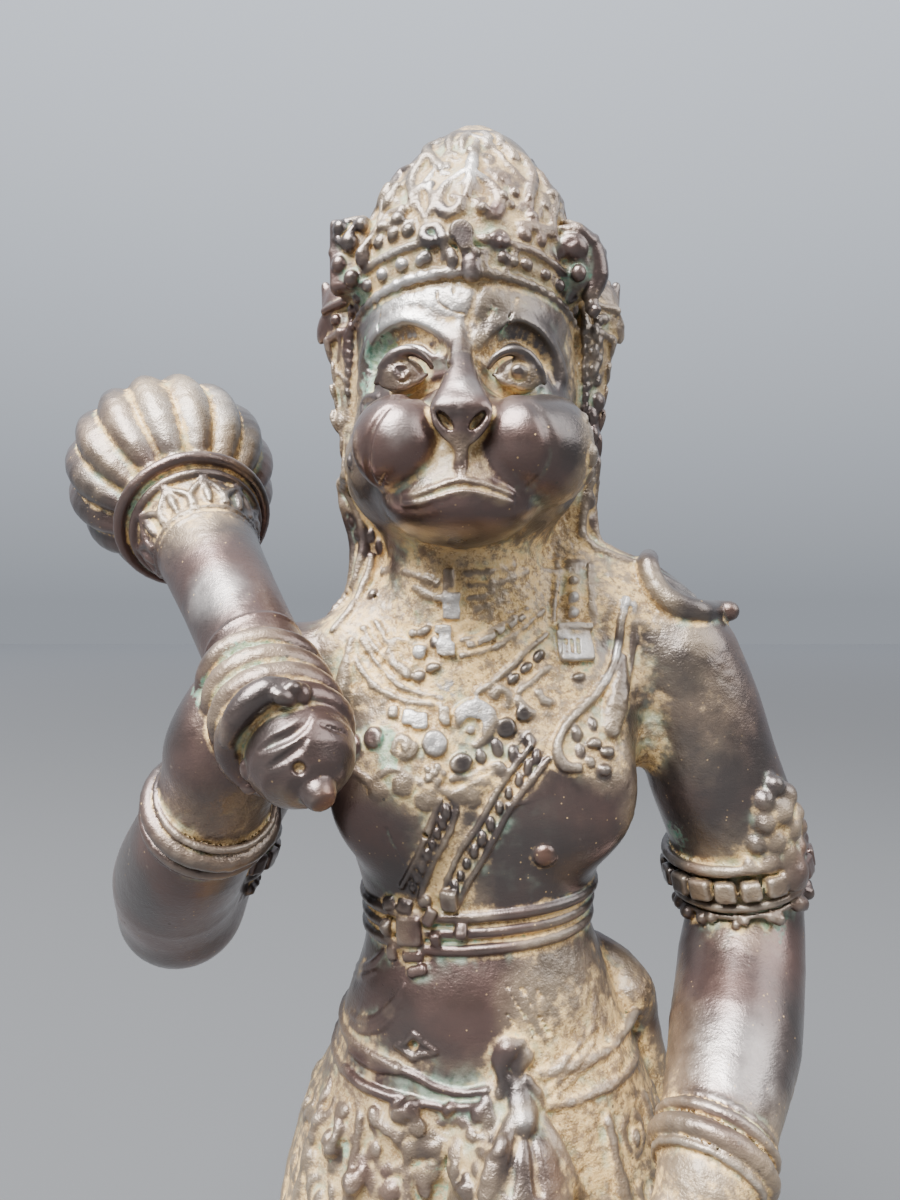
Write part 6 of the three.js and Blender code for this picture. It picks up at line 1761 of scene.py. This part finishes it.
# Painted shade: places where the deposit is made browner, and its dust and ridge highlights dimmed, to
# stand for shade
SHADE_SPOTS = [
    (460, 250, 20, 0.9), (400, 262, 14, 0.9), (530, 255, 16, 0.9), (542, 195, 20, 0.9),
    (500, 178, 10, 0.5), (386, 195, 12, 0.5), (440, 215, 10, 0.6), (375, 240, 12, 0.7),
    (340, 400, 24, 0.7), (345, 330, 18, 0.7), (600, 400, 24, 0.8), (590, 300, 18, 0.8),
    (595, 490, 20, 0.6), (380, 1130, 40, 0.8), (440, 1170, 40, 0.8), (520, 1180, 24, 0.5),
    (600, 1120, 30, 0.3), (590, 980, 22, 0.7), (640, 985, 14, 0.5), (660, 700, 30, 0.5),
    (440, 850, 24, 0.6), (440, 945, 20, 0.6), (420, 800, 18, 0.5), (520, 730, 16, 0.4),
    (345, 590, 16, 0.5), (450, 560, 14, 0.6), (590, 740, 14, 0.5), (260, 700, 24, 0.6),
    (230, 830, 22, 0.7), (740, 830, 26, 0.5), (720, 960, 20, 0.3), (455, 455, 14, 0.8),
    (400, 372, 11, 0.9), (520, 372, 11, 0.8), (462, 470, 12, 0.9), (460, 150, 26, 0.6),
    (540, 160, 20, 0.7), (400, 190, 18, 0.7), (460, 225, 30, 0.9), (575, 240, 18, 0.8),
    (345, 300, 16, 0.7), (345, 460, 20, 0.6), (595, 345, 24, 0.8),
]
# Spots worn bare and shiny, whose bright colour is also a painted highlight
POLISH_AND_HIGHLIGHT_SPOTS = [
    (405, 305, 18, 0.8), (440, 300, 12, 0.6), (440, 180, 8, 0.5), (470, 165, 8, 0.8),
    (486, 135, 8, 0.4), (420, 652, 3, 1), (446, 640, 4.5, 1), (452, 606, 4.5, 1), (450, 690, 5, 0.6),
    (574, 647, 7, 1), (573, 597, 4, 0.5), (573, 613, 4, 0.6), (475, 712, 6, 1), (409, 717, 3.5, 0.9),
    (421, 721, 3.5, 0.9), (435, 741, 4, 0.8), (628, 602, 4, 0.9), (616, 650, 4, 0.7),
    (606, 678, 4, 0.5), (524, 1118, 4, 0.4), (740, 1060, 20, 0.5), (212, 590, 14, 0.5),
    (165, 420, 18, 0.4), (215, 400, 16, 0.4), (400, 425, 8, 0.3), (470, 385, 6, 0.4),
    (690, 590, 10, 0.4),
]


class Crust:
    """Lumps of deposit and pitted casting: smooth noise, stronger where a paint mask is."""

    def __init__(self, s):
        rng = np.random.default_rng(CRUST_SEED)
        self.low = CLAY_LOW - CRUST_MARGIN
        size = CLAY_HIGH + CRUST_MARGIN - self.low
        self.layers = []
        for gap, height in CRUST_LAYERS:
            count = np.ceil(size / gap).astype(int) + 2
            self.layers.append((gap, height, rng.random(count, np.float32) - 0.5))
        count = np.ceil(size / CRUST_SHARE_GAP).astype(int) + 2
        places = self.low + CRUST_SHARE_GAP * np.indices(count).reshape(3, -1).T
        share = deposit_share(s, places)
        self.share = (CRUST_LEAST + (1 - CRUST_LEAST) * share).reshape(count).astype(np.float32)

    def spread(self, lattice, gap, clay):
        """A lattice of values, eased onto the clay's grid."""
        for axis in range(3):
            g = (clay.axes[axis] - self.low[axis]) / gap
            i = np.floor(g).astype(int)
            f = g - i
            f = (f * f * (3 - 2 * f)).reshape([-1 if k == axis else 1 for k in range(3)])
            lattice = np.take(lattice, i, axis) * (1 - f) + np.take(lattice, i + 1, axis) * f
        return lattice

    def lay_on(self, clay):
        height = sum(tall * self.spread(noise, gap, clay) for gap, tall, noise in self.layers)
        clay.values += height * self.spread(self.share, CRUST_SHARE_GAP, clay)


def make_figure(material):
    s = make_sculpture()
    crust = Crust(s)
    wide = solid_share(s.draft, 3.0)
    deep = solid_share(s.draft, 9.0)
    for name, (low, high, cell) in REGIONS.items():
        clay = s.region(low, high, cell)
        crust.lay_on(clay)
        points, quads = clay.skin(low, high)
        slope = clay.slope(points)
        normals = slope / np.maximum(np.linalg.norm(slope, axis=1), 1e-6)[:, None]
        masks = {
            "hollow": clay.at(points, solid_share(clay, 0.9)),
            "wide_hollow": s.draft.at(points, wide),
            "deep_hollow": s.draft.at(points, deep),
            "ochre": deposit_share(s, points),
            "green": paint(s, points, GREEN_SPOTS),
            "copper": paint(s, points, COPPER_SPOTS),
            # The next mask carries painted highlights too, and the one after it painted shade
            "polish_and_highlight": paint(s, points, POLISH_AND_HIGHLIGHT_SPOTS),
            "painted_shade": paint(s, points, SHADE_SPOTS),
        }
        # Where two pieces overlap at a border, each dips under the other
        beyond = np.maximum(np.maximum(np.subtract(low, points), points - high), 0).max(axis=1)
        points = points - normals * (SEAM_DIP * beyond)[:, None]
        add_piece(name, skin_mesh(name, points, quads, normals), material, masks)


def deposit_share(s, points):
    share = np.maximum(paint(s, points, OCHRE_SPOTS), plainer_side(points))
    bare = paint(s, points, BARE_SPOTS)
    for at, size in s.bosses:
        bare = np.maximum(bare, 0.6 * nearness(points, at, 1.5 * size + 0.6))
    return np.maximum(share - bare, 0)


def plainer_side(points):
    """Deposit on the sides that the photograph doesn't show: on the back of the head and neck, and on the
    skirt.
    """
    x, y, z = points.T
    behind = np.clip((y - 2) / 14, 0, 1) * (np.abs(x) < 52)
    head = np.clip((z - 296) / 20, 0, 1)
    skirt = np.clip((190 - z) / 18, 0, 1) * np.clip((z - 16) / 26, 0, 1) * (y > -60)
    return np.maximum(behind * head * 0.8, skirt * 0.85)


def make_plinth(material):
    """Two courses with rounded corners: a low foot, and a body with a groove round it."""
    profile = [(1.5, 0), (0.45, 0.4), (0, 1.5), (0, 5.4), (0.45, 6.5), (1.5, 7), (3.3, 7.1), (4, 7.7),
               (4, 10.6), (4.7, 11.1), (4.7, 11.9), (4, 12.4), (4, 18.4), (4.45, 19.5), (5.6, 20)]
    steps = 10
    ring = []
    for corner in range(4):
        turn = corner * math.pi / 2
        side_x = 1 if corner in (0, 3) else -1
        side_y = 1 if corner in (0, 1) else -1
        for i in range(steps + 1):
            ring.append((side_x, side_y, turn + i / steps * math.pi / 2))
    points = []
    for inset, z in profile:
        radius = max(PLINTH_CORNER - inset, 0.5)
        for side_x, side_y, angle in ring:
            middle_x = side_x * (PLINTH_WIDTH / 2 - inset - radius)
            middle_y = side_y * (PLINTH_DEPTH / 2 - inset - radius)
            points.append((middle_x + radius * math.cos(angle), middle_y + radius * math.sin(angle), z))
    count = len(ring)
    faces = [(k * count + i, k * count + (i + 1) % count, (k + 1) * count + (i + 1) % count,
              (k + 1) * count + i) for k in range(len(profile) - 1) for i in range(count)]
    faces.append(tuple(reversed(range(count))))
    faces.append(tuple((len(profile) - 1) * count + i for i in range(count)))
    mesh = bpy.data.meshes.new("plinth")
    mesh.from_pydata([tuple(v * MM for v in p) for p in points], [], faces)
    masks = {"hollow": 0.46, "wide_hollow": 0.5, "deep_hollow": 0.5, "ochre": 0.3,
             "green": 0.1, "copper": 0.0, "polish_and_highlight": 0.0, "painted_shade": 0.3}
    masks = {mask: np.full(len(points), value) for mask, value in masks.items()}
    add_piece("plinth", mesh, material, masks)


def make_floor():
    """A plain pale floor, its colour painted darker near the figure, where the key light falls strongest,
    and paler far away, where less light falls, so that it runs into the studio behind it.
    """
    bpy.ops.mesh.primitive_plane_add(size=12)
    floor = bpy.context.object
    floor.name = "floor"
    material = bpy.data.materials.new("floor")
    material.use_nodes = True
    shader = material.node_tree.nodes["Principled BSDF"]
    n = Nodes(material)
    place = n.put("ShaderNodeTexCoord").outputs["Object"]
    away = n.put("ShaderNodeVectorMath", {0: place}, operation="LENGTH").outputs["Value"]
    colour = n.mix(n.ramp(away, 1.2, 7), FLOOR_NEAR_SHADED, FLOOR_FAR_LIT)
    material.node_tree.links.new(colour, shader.inputs["Base Color"])
    shader.inputs["Roughness"].default_value = 0.9
    floor.data.materials.append(material)


def make_light(name, place, aim, size, power):
    light = bpy.data.lights.new(name, "AREA")
    light.size = size
    light.energy = power
    lamp = bpy.data.objects.new(name, light)
    bpy.context.scene.collection.objects.link(lamp)
    lamp.location = place
    way = Vector(aim) - Vector(place)
    lamp.rotation_mode = "QUATERNION"
    lamp.rotation_quaternion = way.to_track_quat("-Z", "Y")


def make_camera():
    data = bpy.data.cameras.new("camera")
    data.lens = LENS_MM
    data.sensor_width = SENSOR_MM
    data.clip_start = 0.01
    camera = bpy.data.objects.new("camera", data)
    bpy.context.scene.collection.objects.link(camera)
    camera.location = to_metres(CAMERA)
    camera.rotation_euler = (math.radians(90), 0, 0)
    bpy.context.scene.camera = camera


def make_world():
    """A plain studio: bright above and behind the figure, dim behind the camera."""
    world = bpy.data.worlds.new("studio")
    world.use_nodes = True
    nodes = world.node_tree.nodes
    links = world.node_tree.links
    coordinates = nodes.new("ShaderNodeTexCoord")
    split = nodes.new("ShaderNodeSeparateXYZ")
    links.new(coordinates.outputs["Generated"], split.inputs[0])
    ranges = []
    for way, values in (("Z", (0.0, 0.9, 0.54, 1.95)), ("Y", (-0.8, 0.5, 0.22, 1.0))):
        ramp = nodes.new("ShaderNodeMapRange")
        for name, value in zip(("From Min", "From Max", "To Min", "To Max"), values):
            ramp.inputs[name].default_value = value
        links.new(split.outputs[way], ramp.inputs["Value"])
        ranges.append(ramp)
    strength = nodes.new("ShaderNodeMath")
    strength.operation = "MULTIPLY"
    for n, ramp in enumerate(ranges):
        links.new(ramp.outputs[0], strength.inputs[n])
    back = nodes["Background"]
    back.inputs["Color"].default_value = STUDIO
    links.new(strength.outputs[0], back.inputs["Strength"])
    bpy.context.scene.world = world


bronze = bronze_material()
make_figure(bronze)
make_plinth(bronze)
make_floor()
make_light("key", (-1.2, -1.45, 3.2), (0, 0, 0.32), 2.6, 880)
make_light("fill", (0.8, -0.3, 0.85), (0, 0, 0.3), 0.7, 9)
make_camera()
make_world()
